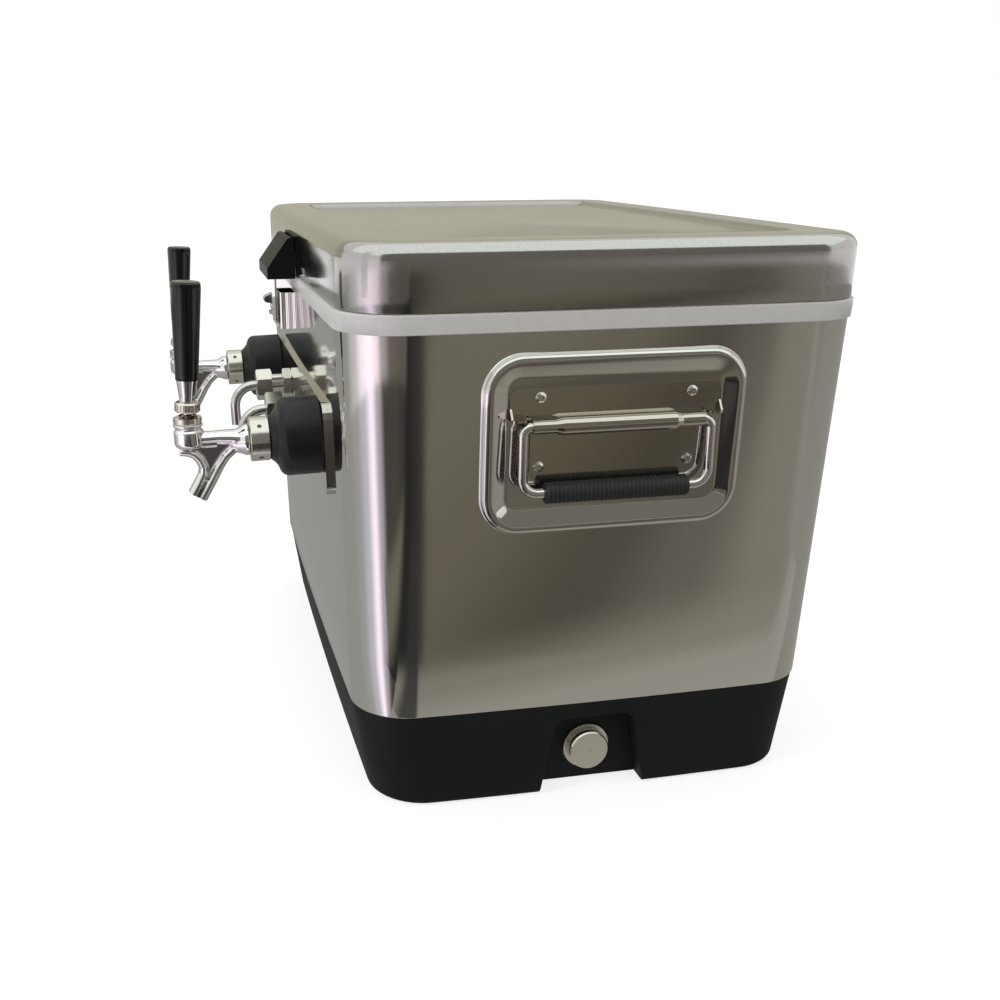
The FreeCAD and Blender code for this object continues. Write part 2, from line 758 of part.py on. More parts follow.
def latch_bracket():
    pivot = latch_pivot()
    half = LATCH_WIDTH / 2 - 1
    top = pivot.z + 5
    plate = box(-half, half, lid_front_y() - LATCH_PLATE, lid_front_y() + 3, top - LATCH_PLATE_HEIGHT, top)
    plate = plate.cut(lid_block())
    ears = []
    for side in (-1, 1):
        x0 = side * LATCH_EAR_X - LATCH_EAR / 2
        x1 = x0 + LATCH_EAR
        ears.append(cylinder(LATCH_BARREL_R, V(x0, pivot.y, pivot.z), V(x1, pivot.y, pivot.z)))
        ears.append(box(x0, x1, pivot.y, lid_front_y() - LATCH_PLATE + 0.5,
                        pivot.z - LATCH_BARREL_R, pivot.z + LATCH_BARREL_R))
    pin = cylinder(LATCH_PIN_R, V(-LATCH_WIDTH, pivot.y, pivot.z), V(LATCH_WIDTH, pivot.y, pivot.z))
    bracket = fuse([plate] + ears).cut(pin)
    return bracket.cut(Part.makeCompound([screw_shank(*place) for place in bracket_screws()]))


def latch_pin():
    pivot = latch_pivot()
    half = LATCH_WIDTH / 2 - 0.5
    return cylinder(LATCH_PIN_R, V(-half, pivot.y, pivot.z), V(half, pivot.y, pivot.z))


def latch_lever():
    """Moulded wedge, open behind and below, on a barrel that turns on the pin."""
    pivot = latch_pivot()
    base = lid_front_y()
    half = LATCH_WIDTH / 2
    rear = LATCH_PLATE + 0.8
    up = pivot.z
    lean = math.atan2(up - LATCH_NOSE_TOP, LATCH_REACH - LATCH_PIVOT_OUT)
    rise = LATCH_BARREL_R * math.cos(lean)
    ahead = LATCH_BARREL_R * math.sin(lean)
    outside = [
        (rear, LATCH_NOSE_BOTTOM), (LATCH_REACH, LATCH_NOSE_BOTTOM), (LATCH_REACH, LATCH_NOSE_TOP),
        (LATCH_PIVOT_OUT + ahead, up + rise), (LATCH_PIVOT_OUT, up), (rear, up - LATCH_BARREL_R),
    ]
    wall = LATCH_WALL
    inside = [
        (rear - EPS, LATCH_NOSE_BOTTOM - EPS), (LATCH_REACH - wall, LATCH_NOSE_BOTTOM - EPS),
        (LATCH_REACH - wall, LATCH_NOSE_TOP - wall * 0.45),
        (LATCH_PIVOT_OUT + ahead * 0.8, up + rise - wall * 1.55), (LATCH_PIVOT_OUT, up - wall),
        (rear - EPS, up - wall),
    ]
    shell = side_prism(outside, -half, half, base).cut(side_prism(inside, wall - half, half - wall, base))
    barrel = cylinder(LATCH_BARREL_R, V(-half, pivot.y, up), V(half, pivot.y, up))
    boss_out = tongue_out()
    boss_half = TONGUE_WIDTH / 2 - 4
    boss = box(-boss_half, boss_half, base - boss_out, base - boss_out + 3.4,
               LATCH_NOSE_TOP - 2, lever_roof(boss_out) - 0.6)
    lever = fuse([shell, barrel, boss])
    for side in (-1, 1):
        x = side * LATCH_EAR_X
        slot = LATCH_EAR / 2 + PLAY
        lever = lever.cut(box(x - slot, x + slot, pivot.y - LATCH_BARREL_R - 0.6, base,
                              up - LATCH_BARREL_R - 2.4, up + LATCH_BARREL_R + EPS))
    bore = cylinder(LATCH_PIN_R + RUNNING, V(-half - EPS, pivot.y, up), V(half + EPS, pivot.y, up))
    return lever.cut(bore)


def lever_roof(out):
    """Height of the lever's sloping top at a distance out from the lid."""
    pivot_up = latch_pivot().z
    share = (out - LATCH_PIVOT_OUT) / (LATCH_REACH - LATCH_PIVOT_OUT)
    return pivot_up + LATCH_BARREL_R * 0.6 - share * (pivot_up + LATCH_BARREL_R * 0.6 - LATCH_NOSE_TOP)


def tongue_out():
    """How far out of the lid's face the tongue's back lies: just ahead of the strike."""
    strike_front = -belt_size(strike_middle(), 0)[1] / 2 - STRIKE_DEPTH
    return lid_front_y() - strike_front + PLAY + 0.5


def latch_tongue():
    half = TONGUE_WIDTH / 2
    back = lid_front_y() - tongue_out()
    top = lever_roof(tongue_out() + TONGUE_SHEET) - LATCH_WALL * 1.45
    sheet = box(-half, half, back - TONGUE_SHEET, back, TONGUE_BOTTOM, top)
    lips = [e for e in sheet.Edges if e.BoundBox.ZMax < TONGUE_BOTTOM + 0.01 and e.BoundBox.XLength < 0.01]
    sheet = sheet.makeFillet(5.0, lips)
    head_z = LATCH_NOSE_TOP + 2.0
    dome = [(0, 0), (2.2, 0), (1.6, 1.2), (0, 1.5)]
    heads = [revolved(dome, V(x, back - TONGUE_SHEET, head_z), V(0, -1, 0)) for x in (-8.0, 8.0)]
    return fuse([sheet] + heads)


def strike_middle():
    return STRIKE_TOP - STRIKE_HEIGHT / 2


def strike_plate():
    """Pressed catch box below the latch, open at the top, screwed to the belt."""
    front = -belt_size(strike_middle(), 0)[1] / 2 - STRIKE_DEPTH
    low = STRIKE_TOP - STRIKE_HEIGHT
    half = STRIKE_WIDTH / 2
    outer = box(-half, half, front, front + STRIKE_DEPTH + 4, low, STRIKE_TOP)
    upright = [e for e in outer.Edges if e.BoundBox.ZLength > 1 and e.BoundBox.YMax < front + 0.01]
    outer = outer.makeFillet(STRIKE_R, upright)
    t = STRIKE_SHEET
    inner = box(t - half, half - t, front + t, front + STRIKE_DEPTH - t, low + t, STRIKE_TOP + EPS)
    upright = [e for e in inner.Edges if e.BoundBox.ZLength > 1 and e.BoundBox.YMax < front + t + 0.01]
    inner = inner.makeFillet(STRIKE_R - t, upright)
    strike = outer.cut(inner).cut(block(belt_size, BELT_BOTTOM, BELT_TOP, 0, CORNER_R))
    return strike.cut(Part.makeCompound([screw_shank(*place) for place in strike_screws()]))


def bottle_opener():
    y = -belt_size(OPENER_Z, 0)[1] / 2
    half = OPENER_WIDTH / 2
    tall = OPENER_HEIGHT / 2
    x = OPENER_X
    plate = box(x - half, x + half, y - OPENER_PLATE, y + 2 * CROWN, OPENER_Z - tall, OPENER_Z + tall)
    plate = plate.makeFillet(5.0, [e for e in plate.Edges if e.BoundBox.YLength > 1])
    lip = side_prism(
        [(OPENER_PLATE - 1, OPENER_Z - 1), (OPENER_REACH - 2, OPENER_Z + 1), (OPENER_REACH, OPENER_Z + 3.5),
         (OPENER_REACH - 1.5, OPENER_Z + 7), (OPENER_PLATE - 1, OPENER_Z + 11)],
        x - OPENER_LIP_WIDTH / 2, x + OPENER_LIP_WIDTH / 2, y)
    rest = [(OPENER_PLATE - 1, OPENER_Z - 13), (OPENER_PLATE + 3, OPENER_Z - 12.5),
            (OPENER_PLATE + 3, OPENER_Z - 9.5), (OPENER_PLATE - 1, OPENER_Z - 9)]
    rests = [side_prism(rest, x + s * 6 - 2, x + s * 6 + 2, y) for s in (-1, 1)]
    opener = fuse([plate, lip] + rests).cut(block(belt_size, BELT_BOTTOM, BELT_TOP, 0, CORNER_R))
    cuts = []
    for seat, way in opener_screws():
        cuts.append(screw_shank(seat, way))
        cuts.append(cylinder(SCREW_HEAD_R + 0.2, seat - way * 1.8, seat))
    return opener.cut(Part.makeCompound(cuts))


# ---------------------------------------------------------------- front plate and taps, in the front's frame

def out(distance, x=0.0, up=0.0):
    """Point at a distance in front of the face plate, in the front's own frame."""
    return V(x, -PLATE_SHEET - distance, up)


def face_plate():
    half = PLATE_LENGTH / 2
    plate = box(-half, half, -PLATE_SHEET, 2 * CROWN, -PLATE_BELOW, PLATE_ABOVE)
    plate = plate.makeFillet(PLATE_R, [e for e in plate.Edges if e.BoundBox.YLength > 1])
    holes = []
    for x, radius in ((TAP_X, SHANK_R), (INLET_X, INLET_R)):
        for at in (-x, x):
            holes.append(cylinder(radius + PLAY, out(EPS, at), out(-3 * PLATE_SHEET, at)))
    plate = at_front(plate.cut(Part.makeCompound(holes)))
    return plate.cut(block(belt_size, BELT_BOTTOM, BELT_TOP, 0, CORNER_R))


def turned(profile, x=0.0):
    """Turned piece about a tap's axis from (radius, distance in front of the face plate) pairs."""
    return revolved(profile, out(0, x), V(0, -1, 0))


def shank_collar(x):
    step = COLLAR_TOTAL - SHANK_HEAD + (SHANK_END - COLLAR_TOTAL)
    cup = turned([
        (SHANK_R + PLAY, 0), (COLLAR_R, 0), (COLLAR_R, COLLAR_LENGTH), (COLLAR_RING_R, COLLAR_LENGTH),
        (COLLAR_RING_R, COLLAR_TOTAL), (SHANK_HEAD_R + PLAY, COLLAR_TOTAL), (SHANK_HEAD_R + PLAY, step),
        (SHANK_R + PLAY, step),
    ], x)
    lip = [e for e in cup.Edges if round_edge(e, COLLAR_R) and e.BoundBox.YMax < out(COLLAR_LENGTH).y + 0.01]
    return cup.makeFillet(COLLAR_EDGE_R, lip)


def round_edge(edge, radius):
    curve = edge.Curve
    return isinstance(curve, Part.Circle) and abs(curve.Radius - radius) < 0.01


def faucet_shank(x):
    head_start = SHANK_END - SHANK_HEAD
    tail = -PLATE_SHEET - INNER_FACE - SHANK_TAIL
    seat = SHANK_END - SHANK_SEAT_DEPTH
    return turned([
        (SHANK_BORE_R, tail), (SHANK_R, tail), (SHANK_R, head_start), (SHANK_HEAD_R, head_start),
        (SHANK_HEAD_R, SHANK_END), (SHANK_SEAT_R, SHANK_END), (SHANK_SEAT_R, seat), (SHANK_BORE_R, seat - 4),
    ], x)


def coupling_nut(x):
    nut = turned([
        (SHANK_HEAD_R + 0.1, NUT_START), (NUT_R - 0.8, NUT_START), (NUT_R, NUT_START + 0.8),
        (NUT_R, NUT_END - 0.8), (NUT_R - 0.8, NUT_END), (NECK_R + 0.2, NUT_END),
        (NECK_R + 0.2, NUT_END - NUT_LIP), (SHANK_HEAD_R + 0.1, NUT_END - NUT_LIP),
    ], x)
    middle = out((NUT_START + NUT_END) / 2, x)
    holes = []
    for k in range(4):
        angle = math.radians(45 + 90 * k)
        way = V(math.cos(angle), 0, math.sin(angle))
        holes.append(cylinder(SPANNER_HOLE_R, middle + way * (NUT_R - 2.6), middle + way * (NUT_R + EPS)))
    return nut.cut(Part.makeCompound(holes))


def back_nut(x, clear_r):
    start = V(x, INNER_FACE, 0)
    return hexagon(BACK_NUT_FLATS, start, start + V(0, BACK_NUT, 0), clear_r)


def web_pocket():
    """Y-shaped hollow in each cheek of the casting."""
    points = [(69.0, 3.4), (92.0, 3.4), (92.0, -3.6), (93.0, -8.0), (92.6, -19.0), (99.2, -31.0),
              (95.4, -32.6), (86.0, -19.0), (77.0, -8.4), (69.0, -3.4)]
    flat = [out(w, CASTING_HALF - WEB_POCKET, v) for w, v in points]
    return Part.Face(Part.makePolygon(flat + flat[:1])).extrude(V(2 * WEB_POCKET, 0, 0))


def faucet_body(x):
    """Casting: level barrel, upright tower for the lever and a spout that leans forward."""
    lean = math.radians(SPOUT_LEAN)
    tip = out(SPOUT_TIP[0], 0, SPOUT_TIP[1])
    along = V(0, -math.sin(lean), -math.cos(lean))
    spout_length = -SPOUT_TIP[1] / math.cos(lean)
    spout = cylinder(SPOUT_R, tip - along * spout_length, tip)
    barrel = cylinder(BARREL_R, out(NUT_END + 8), out(BODY_REACH))
    tower = cylinder(BODY_R, out(BODY_REACH, 0, -BODY_BOTTOM), out(BODY_REACH, 0, BODY_TOP))
    tower = tower.makeFillet(3.5, [e for e in tower.Edges if e.BoundBox.ZMax < 0.01 - BODY_BOTTOM])
    throat = [(88.0, 0.0), (104.0, 0.0), (106.5, -6.0), (103.2, -11.4), (100.6, -17.8), (97.0, -20.0)]
    flat = [out(w, -THROAT / 2, v) for w, v in throat]
    gusset = Part.Face(Part.makePolygon(flat + flat[:1])).extrude(V(THROAT, 0, 0))
    tail = turned([
        (0, SHANK_END + 0.1), (TAIL_R, SHANK_END + 0.1), (TAIL_R, NUT_END - NUT_LIP - 0.1),
        (NECK_R, NUT_END - NUT_LIP - 0.1), (NECK_R, NUT_END + 0.6), (TAIL_R, NUT_END + 0.6),
        (TAIL_R, NUT_END + 4.0), (BARREL_R + 0.6, NUT_END + 10.0), (0, NUT_END + 10.0),
    ])
    body = fuse([barrel, spout, tower, gusset, tail])
    pocket = web_pocket()
    body = body.cut(pocket).cut(pocket.mirror(V(0, 0, 0), V(1, 0, 0)))
    waist = out(BODY_REACH, 0, BODY_TOP - 4)
    groove = revolved([(BODY_R - 2.0, 0), (BODY_R + EPS, -2.0), (BODY_R + EPS, 2.0)], waist)
    shaft_bore = cylinder(SHAFT_BORE_R, out(SHANK_END), out(BODY_REACH + SHAFT_NOSE + 1))
    mouth = tip - along * SPOUT_MOUTH
    spout_bore = fuse([cylinder(SPOUT_THROAT_R, tip - along * (spout_length - 6), mouth + along),
                       cylinder(SPOUT_BORE_R, mouth, tip + along * EPS)])
    well = cylinder(STEM_WELL_R, out(BODY_REACH, 0, -2), out(BODY_REACH, 0, BODY_TOP + EPS))
    body = body.cut(groove).cut(shaft_bore).cut(spout_bore).cut(well)
    body.translate(V(x, 0, 0))
    return body


def faucet_bonnet(x):
    """Ring that holds the lever's ball down, coned on top to let the lever lean."""
    base = BODY_TOP
    shoulder = base + BONNET_HEIGHT - 1.9
    inside = BALL_UP + 3.2
    return revolved([
        (BALL_R + 0.4, base), (BONNET_R - 1.0, base), (BONNET_R, base + 1.4), (BONNET_R, shoulder),
        (BONNET_HOLE_R + 0.3, base + BONNET_HEIGHT), (BONNET_HOLE_R, base + BONNET_HEIGHT),
        (BONNET_HOLE_R, inside), (BALL_R + 0.4, inside),
    ], out(BODY_REACH, x))


def faucet_shaft(x):
    start = SHANK_END - WASHER - 1
    end = BODY_REACH + SHAFT_NOSE
    shaft = cylinder(SHAFT_R, out(SHANK_END - 0.2, x), out(end, x))
    stub = cylinder(WASHER_R * 0.4, out(start, x), out(SHANK_END, x))
    rest = BODY_REACH + BALL_UP * math.sin(math.radians(LEVER_LEAN))
    reach = TIP_R + PLAY
    slot = box(x - reach, x + reach, out(rest + reach).y, out(rest - reach).y, -2 * SHAFT_R, 2 * SHAFT_R)
    waist = revolved([(SHAFT_R - 1.6, 0), (SHAFT_R + 1, 0), (SHAFT_R + 1, 34), (SHAFT_R - 1.6, 34)],
                     out(SHANK_END + 4, x), V(0, -1, 0))
    return fuse([shaft, stub]).cut(slot).cut(waist)


def seat_washer(x):
    start = SHANK_END - WASHER - 0.3
    return revolved([(WASHER_R * 0.4, 0), (WASHER_R, 0), (WASHER_R, WASHER), (WASHER_R * 0.4, WASHER)],
                    out(start, x), V(0, -1, 0))


# tap lever: built upright on its ball, then leaned back towards the cooler

def on_lever(shape, x):
    placed = shape.copy()
    placed.rotate(V(0, 0, 0), V(1, 0, 0), -LEVER_LEAN)
    placed.translate(out(BODY_REACH, x, BALL_UP))
    return at_front(placed)


def lever_stem():
    ball = Part.makeSphere(BALL_R)
    neck = cylinder(NECK_STEM_R, V(0, 0, 0), V(0, 0, JAM_UP))
    top = JAM_UP + JAM + FERRULE + THREAD_IN_KNOB
    thread = cylinder(THREAD_R, V(0, 0, JAM_UP), V(0, 0, top))
    rod = cylinder(TIP_ROD_R, V(0, 0, -BALL_UP), V(0, 0, 0))
    tip = Part.makeSphere(TIP_R, V(0, 0, -BALL_UP))
    return fuse([ball, neck, thread, rod, tip])


def jam_collar():
    low = JAM_UP
    high = JAM_UP + JAM
    ring = revolved([
        (THREAD_R, low), (JAM_R - 1.2, low), (JAM_R, low + 1.2), (JAM_R, high - 1.2), (JAM_R - 1.2, high),
        (THREAD_R, high),
    ])
    cuts = []
    count = 24
    for k in range(count):
        angle = 2 * math.pi * k / count
        edge = V(JAM_R * math.cos(angle), JAM_R * math.sin(angle), low + 1.6)
        cuts.append(cylinder(0.55, edge, edge + V(0, 0, JAM - 3.2)))
    return ring.cut(Part.makeCompound(cuts))


def ferrule():
    low = JAM_UP + JAM
    high = low + FERRULE
    return revolved([
        (THREAD_R, low), (FERRULE_LOW_R, low), (FERRULE_LOW_R + 0.4, low + 4), (FERRULE_TOP_R, high),
        (THREAD_R, high),
    ])


def knob():
    low = JAM_UP + JAM + FERRULE
    high = low + KNOB
    deep = low + THREAD_IN_KNOB
    solid = revolved([
        (THREAD_R, low), (KNOB_LOW_R, low), (KNOB_LOW_R + 0.3, low + 2), (KNOB_TOP_R, high - 5),
        (KNOB_TOP_R - 0.3, high - KNOB_DOME), (KNOB_TOP_R - 1.6, high - 0.6), (0, high), (0, deep),
        (THREAD_R, deep),
    ])
    return solid


# ---------------------------------------------------------------- inlets and coils

def inlet_bulkhead(x):
    tail = -PLATE_SHEET - INNER_FACE - INLET_TAIL
    return turned([
        (INLET_BORE_R, tail), (INLET_R, tail), (INLET_R, INLET_REACH), (INLET_BORE_R, INLET_REACH),
    ], x)


def inlet_lock_nut(x):
    return hexagon(LOCK_NUT_FLATS, out(0, x), out(LOCK_NUT, x), INLET_R)


def inlet_hex_nut(x):
    """Hexagon swivel nut: threaded over the bulkhead, closing in on the bent tube."""
    start = HEX_NUT_START
    end = start + HEX_NUT
    nut = hexagon(HEX_NUT_FLATS, out(start, x), out(end, x), ELBOW_R)
    return nut.cut(turned([(0, start - EPS), (INLET_R, start - EPS), (INLET_R, INLET_REACH + 2.6),
                           (0, INLET_REACH + 2.6)], x))


def inlet_elbow(x):
    """Bent tailpiece: a flange held by the nut, then a quarter bend to a plain hose end."""
    points = [out(INLET_REACH + 0.1, x), out(ELBOW_OUT, x), out(ELBOW_OUT, x, -ELBOW_DROP)]
    outer = tube(points, [ELBOW_BEND], ELBOW_R)
    flange = turned([(0, INLET_REACH + 0.1), (INLET_R - 0.4, INLET_REACH + 0.1),
                     (INLET_R - 0.4, INLET_REACH + 2.4), (0, INLET_REACH + 2.4)], x)
    points[0] = out(INLET_REACH - EPS, x)
    points[-1] = out(ELBOW_OUT, x, -ELBOW_DROP - EPS)
    return fuse([outer, flange]).cut(tube(points, [ELBOW_BEND], INLET_BORE_R))


def union_nut(x, start):
    begin = V(x, INNER_FACE + start, 0)
    return hexagon(UNION_FLATS, begin, begin + V(0, UNION, 0), COIL_TUBE_R)


def coil_span():
    """The coil's ends lie straight behind the inlet and the shank."""
    return TAP_X - INLET_X


def swung(ring, centre, axis, angle):
    """The wall that a ring leaves as it swings round an axis, and the ring's new place."""
    far = ring.copy()
    far.rotate(centre, axis, angle)
    return ring.revolve(centre, axis, angle), far


def run(ring, points, bend):
    """Walls of a tube along points with rounded corners, from a ring at the first, and its last ring."""
    walls = []
    here = points[0]
    for before, corner, after in zip(points, points[1:], points[2:]):
        way = (corner - before).normalize()
        on = (after - corner).normalize()
        reach = bend * math.tan(way.getAngle(on) / 2)
        start = corner - way * reach
        walls.append(ring.extrude(start - here))
        ring = ring.copy()
        ring.translate(start - here)
        centre = start + (on - way * way.dot(on)).normalize() * bend
        wall, ring = swung(ring, centre, way.cross(on), math.degrees(way.getAngle(on)))
        walls.append(wall)
        here = corner + on * reach
    walls.append(ring.extrude(points[-1] - here))
    ring = ring.copy()
    ring.translate(points[-1] - here)
    return walls, ring


def coil_leg(x, tail, height):
    """Way from a fitting's inner end, over and down behind the front wall, to the coil."""
    fitting = at_front(Part.Vertex(V(x, INNER_FACE + tail, 0))).Point
    over = at_front(Part.Vertex(V(x, COIL_DROP, 0))).Point
    return [fitting, over, V(x, over.y, height), V(x, COIL_Y, height)]


def cooling_coil(side):
    """One length of stainless tube: down from the inlet, round and round, up to the shank."""
    near = side * INLET_X
    far = side * TAP_X
    way_in = coil_leg(near, INLET_TAIL, COIL_BOTTOM)
    ring = Part.Circle(way_in[0], way_in[0] - way_in[1], COIL_TUBE_R).toShape()
    ends = [Part.Face(Part.Wire(ring))]
    walls, ring = run(ring, way_in, COIL_BEND)
    here = way_in[-1]
    for k in range(COIL_HALF_TURNS):
        there = V(far if k % 2 == 0 else near, COIL_Y, here.z + COIL_PITCH / 2)
        axis = V(0, 1, 0).cross(there - here)
        wall, ring = swung(ring, (here + there) * 0.5, axis, -180 if k % 2 else 180)
        walls.append(wall)
        here = there
    way_out = coil_leg(far, SHANK_TAIL, here.z)[::-1]
    last, ring = run(ring, way_out, COIL_BEND)
    ends.append(Part.Face(Part.Wire(ring)))
    skin = Part.makeCompound(walls + last + ends)
    skin.sewShape()
    return Part.Solid(skin.Shells[0])


def coil_stand(side):
    """Ring on short legs that carries a coil clear of the melt water."""
    middle = side * (INLET_X + TAP_X) / 2
    radius = coil_span() / 2
    top = COIL_BOTTOM - COIL_TUBE_R - PLAY
    ring = revolved([
        (radius - STAND_RING_W / 2, top - STAND_RING), (radius + STAND_RING_W / 2, top - STAND_RING),
        (radius + STAND_RING_W / 2, top), (radius - STAND_RING_W / 2, top),
    ], V(middle, COIL_Y, 0))
    legs = []
    for k in range(STAND_LEGS):
        angle = 2 * math.pi * (k + 0.25) / STAND_LEGS
        foot = V(middle + radius * math.cos(angle), COIL_Y + radius * math.sin(angle), FLOOR)
        legs.append(cylinder(STAND_LEG_R, foot, V(foot.x, foot.y, top - STAND_RING / 2)))
    return fuse([ring] + legs)


# ---------------------------------------------------------------- end handles, in the end's frame

def rivet_shank(y, up):
    return cylinder(RIVET_R, V(GRIP_PLATE, y, up), V(-RIVET_GRIP, y, up))


def rivet(y, up):
    head = revolved([
        (0, 0), (RIVET_HEAD_R, 0), (RIVET_HEAD_R - 0.4, RIVET_HEAD * 0.5), (RIVET_HEAD_R * 0.55, RIVET_HEAD),
        (1.3, RIVET_HEAD), (1.3, 0.6), (0, 0.6),
    ], V(GRIP_PLATE, y, up), V(1, 0, 0))
    return fuse([head, rivet_shank(y, up)])


def handle_plate(side):
    """Chest-handle back plate: rolled sleeve for the bail and a stop tab at each upper corner."""
    deep = -2 * CROWN
    half = GRIP_PLATE_HALF_TOP
    upper = box(deep, GRIP_PLATE, -half, half, GRIP_PLATE_STEP, GRIP_PLATE_TOP)
    corners = [e for e in upper.Edges if e.BoundBox.XLength > 1 and e.BoundBox.ZMin > GRIP_PLATE_TOP - 0.01]
    upper = upper.makeFillet(8.0, corners)
    low_half = GRIP_PLATE_HALF_LOW
    foot = GRIP_PLATE_BOTTOM
    lower = box(deep, GRIP_PLATE, -low_half, low_half, foot, GRIP_PLATE_STEP + EPS)
    corners = [e for e in lower.Edges if e.BoundBox.XLength > 1 and e.BoundBox.ZMax < foot + 0.01]
    lower = lower.makeFillet(5.0, corners)
    roll = revolved([
        (0, -ROLL_HALF), (ROLL_END_R, -ROLL_HALF), (ROLL_END_R, -ROLL_MID_HALF - ROLL_TAPER),
        (ROLL_MID_R, -ROLL_MID_HALF), (ROLL_MID_R, ROLL_MID_HALF), (ROLL_END_R, ROLL_MID_HALF + ROLL_TAPER),
        (ROLL_END_R, ROLL_HALF), (0, ROLL_HALF),
    ], V(BAIL_OUT, 0, BAIL_UP), V(0, 1, 0))
    web = box(deep, BAIL_OUT, -ROLL_HALF, ROLL_HALF, BAIL_UP - ROLL_END_R, BAIL_UP + ROLL_END_R)
    tab_low = BAIL_UP + BAIL_R + TAB_GAP
    tabs = []
    for s in (-1, 1):
        y0, y1 = sorted((s * TAB_IN, s * half))
        fold = box(deep, GRIP_PLATE + TAB_OUT, y0, y1, tab_low, tab_low + 1.6)
        fold = fold.makeFillet(4.0, [e for e in fold.Edges if e.BoundBox.ZLength > 1
                                     and e.BoundBox.XMin > GRIP_PLATE + TAB_OUT - 0.01])
        rise = Part.Face(Part.makePolygon([
            V(GRIP_PLATE - 0.5, y0, tab_low + 1), V(GRIP_PLATE + TAB_OUT - 3, y0, tab_low + 1),
            V(GRIP_PLATE - 0.5, y0, tab_low + 9), V(GRIP_PLATE - 0.5, y0, tab_low + 1),
        ])).extrude(V(0, 1.6, 0))
        rise.translate(V(0, (y1 - y0 - 1.6) if s > 0 else 0, 0))
        tabs += [fold, rise]
    plate = fuse([upper, lower, roll, web] + tabs)
    reach = ROLL_HALF + EPS
    bore = cylinder(BAIL_R + 0.1, V(BAIL_OUT, -reach, BAIL_UP), V(BAIL_OUT, reach, BAIL_UP))
    shanks = [rivet_shank(y, up) for y in (-RIVET_Y, RIVET_Y) for up in RIVET_UP]
    plate = at_end(plate.cut(bore).cut(Part.makeCompound(shanks)), side)
    return plate.cut(block(belt_size, BELT_BOTTOM, BELT_TOP, 0, CORNER_R))


def bail_pivot():
    """The right bail's axis in the cooler's frame."""
    point = V(BAIL_OUT, 0, BAIL_UP)
    turn = FreeCAD.Rotation(V(0, 1, 0), END_ANGLE)
    return turn.multVec(point) + V(belt_size(PAN_Z, 0)[0] / 2, 0, PAN_Z)


def beside(shape, side):
    """Moves a hanging piece built at the origin to its end's pivot."""
    placed = shape.copy()
    placed.translate(bail_pivot())
    if side < 0:
        placed.rotate(V(0, 0, 0), V(0, 0, 1), 180)
    return placed


def bail(side):
    tenon = ROLL_HALF - BAIL_TENON
    halves = []
    for s in (-1, 1):
        leg = s * BAIL_HALF
        points = [V(0, s * tenon, 0), V(0, leg, 0), V(0, leg, -BAIL_DROP), V(0, 0, -BAIL_DROP)]
        halves.append(tube(points, [BAIL_TOP_BEND, BAIL_LOW_BEND], BAIL_R))
    return beside(fuse(halves), side)


def grip(side):
    """Moulded sleeve with fine ribs round it."""
    profile = [(BAIL_R, -GRIP_HALF), (GRIP_R - GRIP_RIB, -GRIP_HALF)]
    pitch = 2 * GRIP_HALF / GRIP_RIBS
    for k in range(GRIP_RIBS):
        start = -GRIP_HALF + k * pitch
        profile += [(GRIP_R - GRIP_RIB, start + 0.1 * pitch), (GRIP_R, start + 0.3 * pitch),
                    (GRIP_R, start + 0.7 * pitch), (GRIP_R - GRIP_RIB, start + 0.9 * pitch)]
    profile += [(GRIP_R - GRIP_RIB, GRIP_HALF), (BAIL_R, GRIP_HALF)]
    return beside(revolved(profile, V(0, 0, -BAIL_DROP), V(0, 1, 0)), side)


# ---------------------------------------------------------------- drain, about its own level axis

def about_drain(profile):
    return revolved(profile, V(0, 0, DRAIN_Z), V(1, 0, 0))


def drain_body():
    tail = drain_wall_x() + DRAIN_TAIL
    nipple_end = NOTCH_X + DRAIN_FLANGE + DRAIN_NIPPLE
    return about_drain([
        (DRAIN_BORE_R, tail), (DRAIN_TUBE_R, tail), (DRAIN_TUBE_R, NOTCH_X), (DRAIN_FLANGE_R, NOTCH_X),
        (DRAIN_FLANGE_R - 1.4, NOTCH_X + DRAIN_FLANGE), (DRAIN_NIPPLE_R, NOTCH_X + DRAIN_FLANGE),
        (DRAIN_NIPPLE_R, nipple_end), (DRAIN_BORE_R, nipple_end),
    ])


def drain_cap_seal():
    start = NOTCH_X + DRAIN_FLANGE + DRAIN_NIPPLE + 0.05
    end = start + SEAL
    return about_drain([(0, start), (DRAIN_NIPPLE_R, start), (DRAIN_NIPPLE_R, end), (0, end)])


def drain_cap():
    inner = NOTCH_X + DRAIN_FLANGE + DRAIN_NIPPLE + SEAL + 0.1
    start = NOTCH_X + DRAIN_FLANGE + PLAY
    end = inner + CAP_WALL
    cap = about_drain([
        (DRAIN_NIPPLE_R + PLAY, start), (CAP_R, start), (CAP_R, end - 1.0), (CAP_R - 1.0, end),
        (1.6, end), (1.2, end - 0.6), (0, end - 0.7), (0, inner), (DRAIN_NIPPLE_R + PLAY, inner),
    ])
    return cap


# ---------------------------------------------------------------- pieces

def pair(make, x):
    return [at_front(make(-x)), at_front(make(x))]


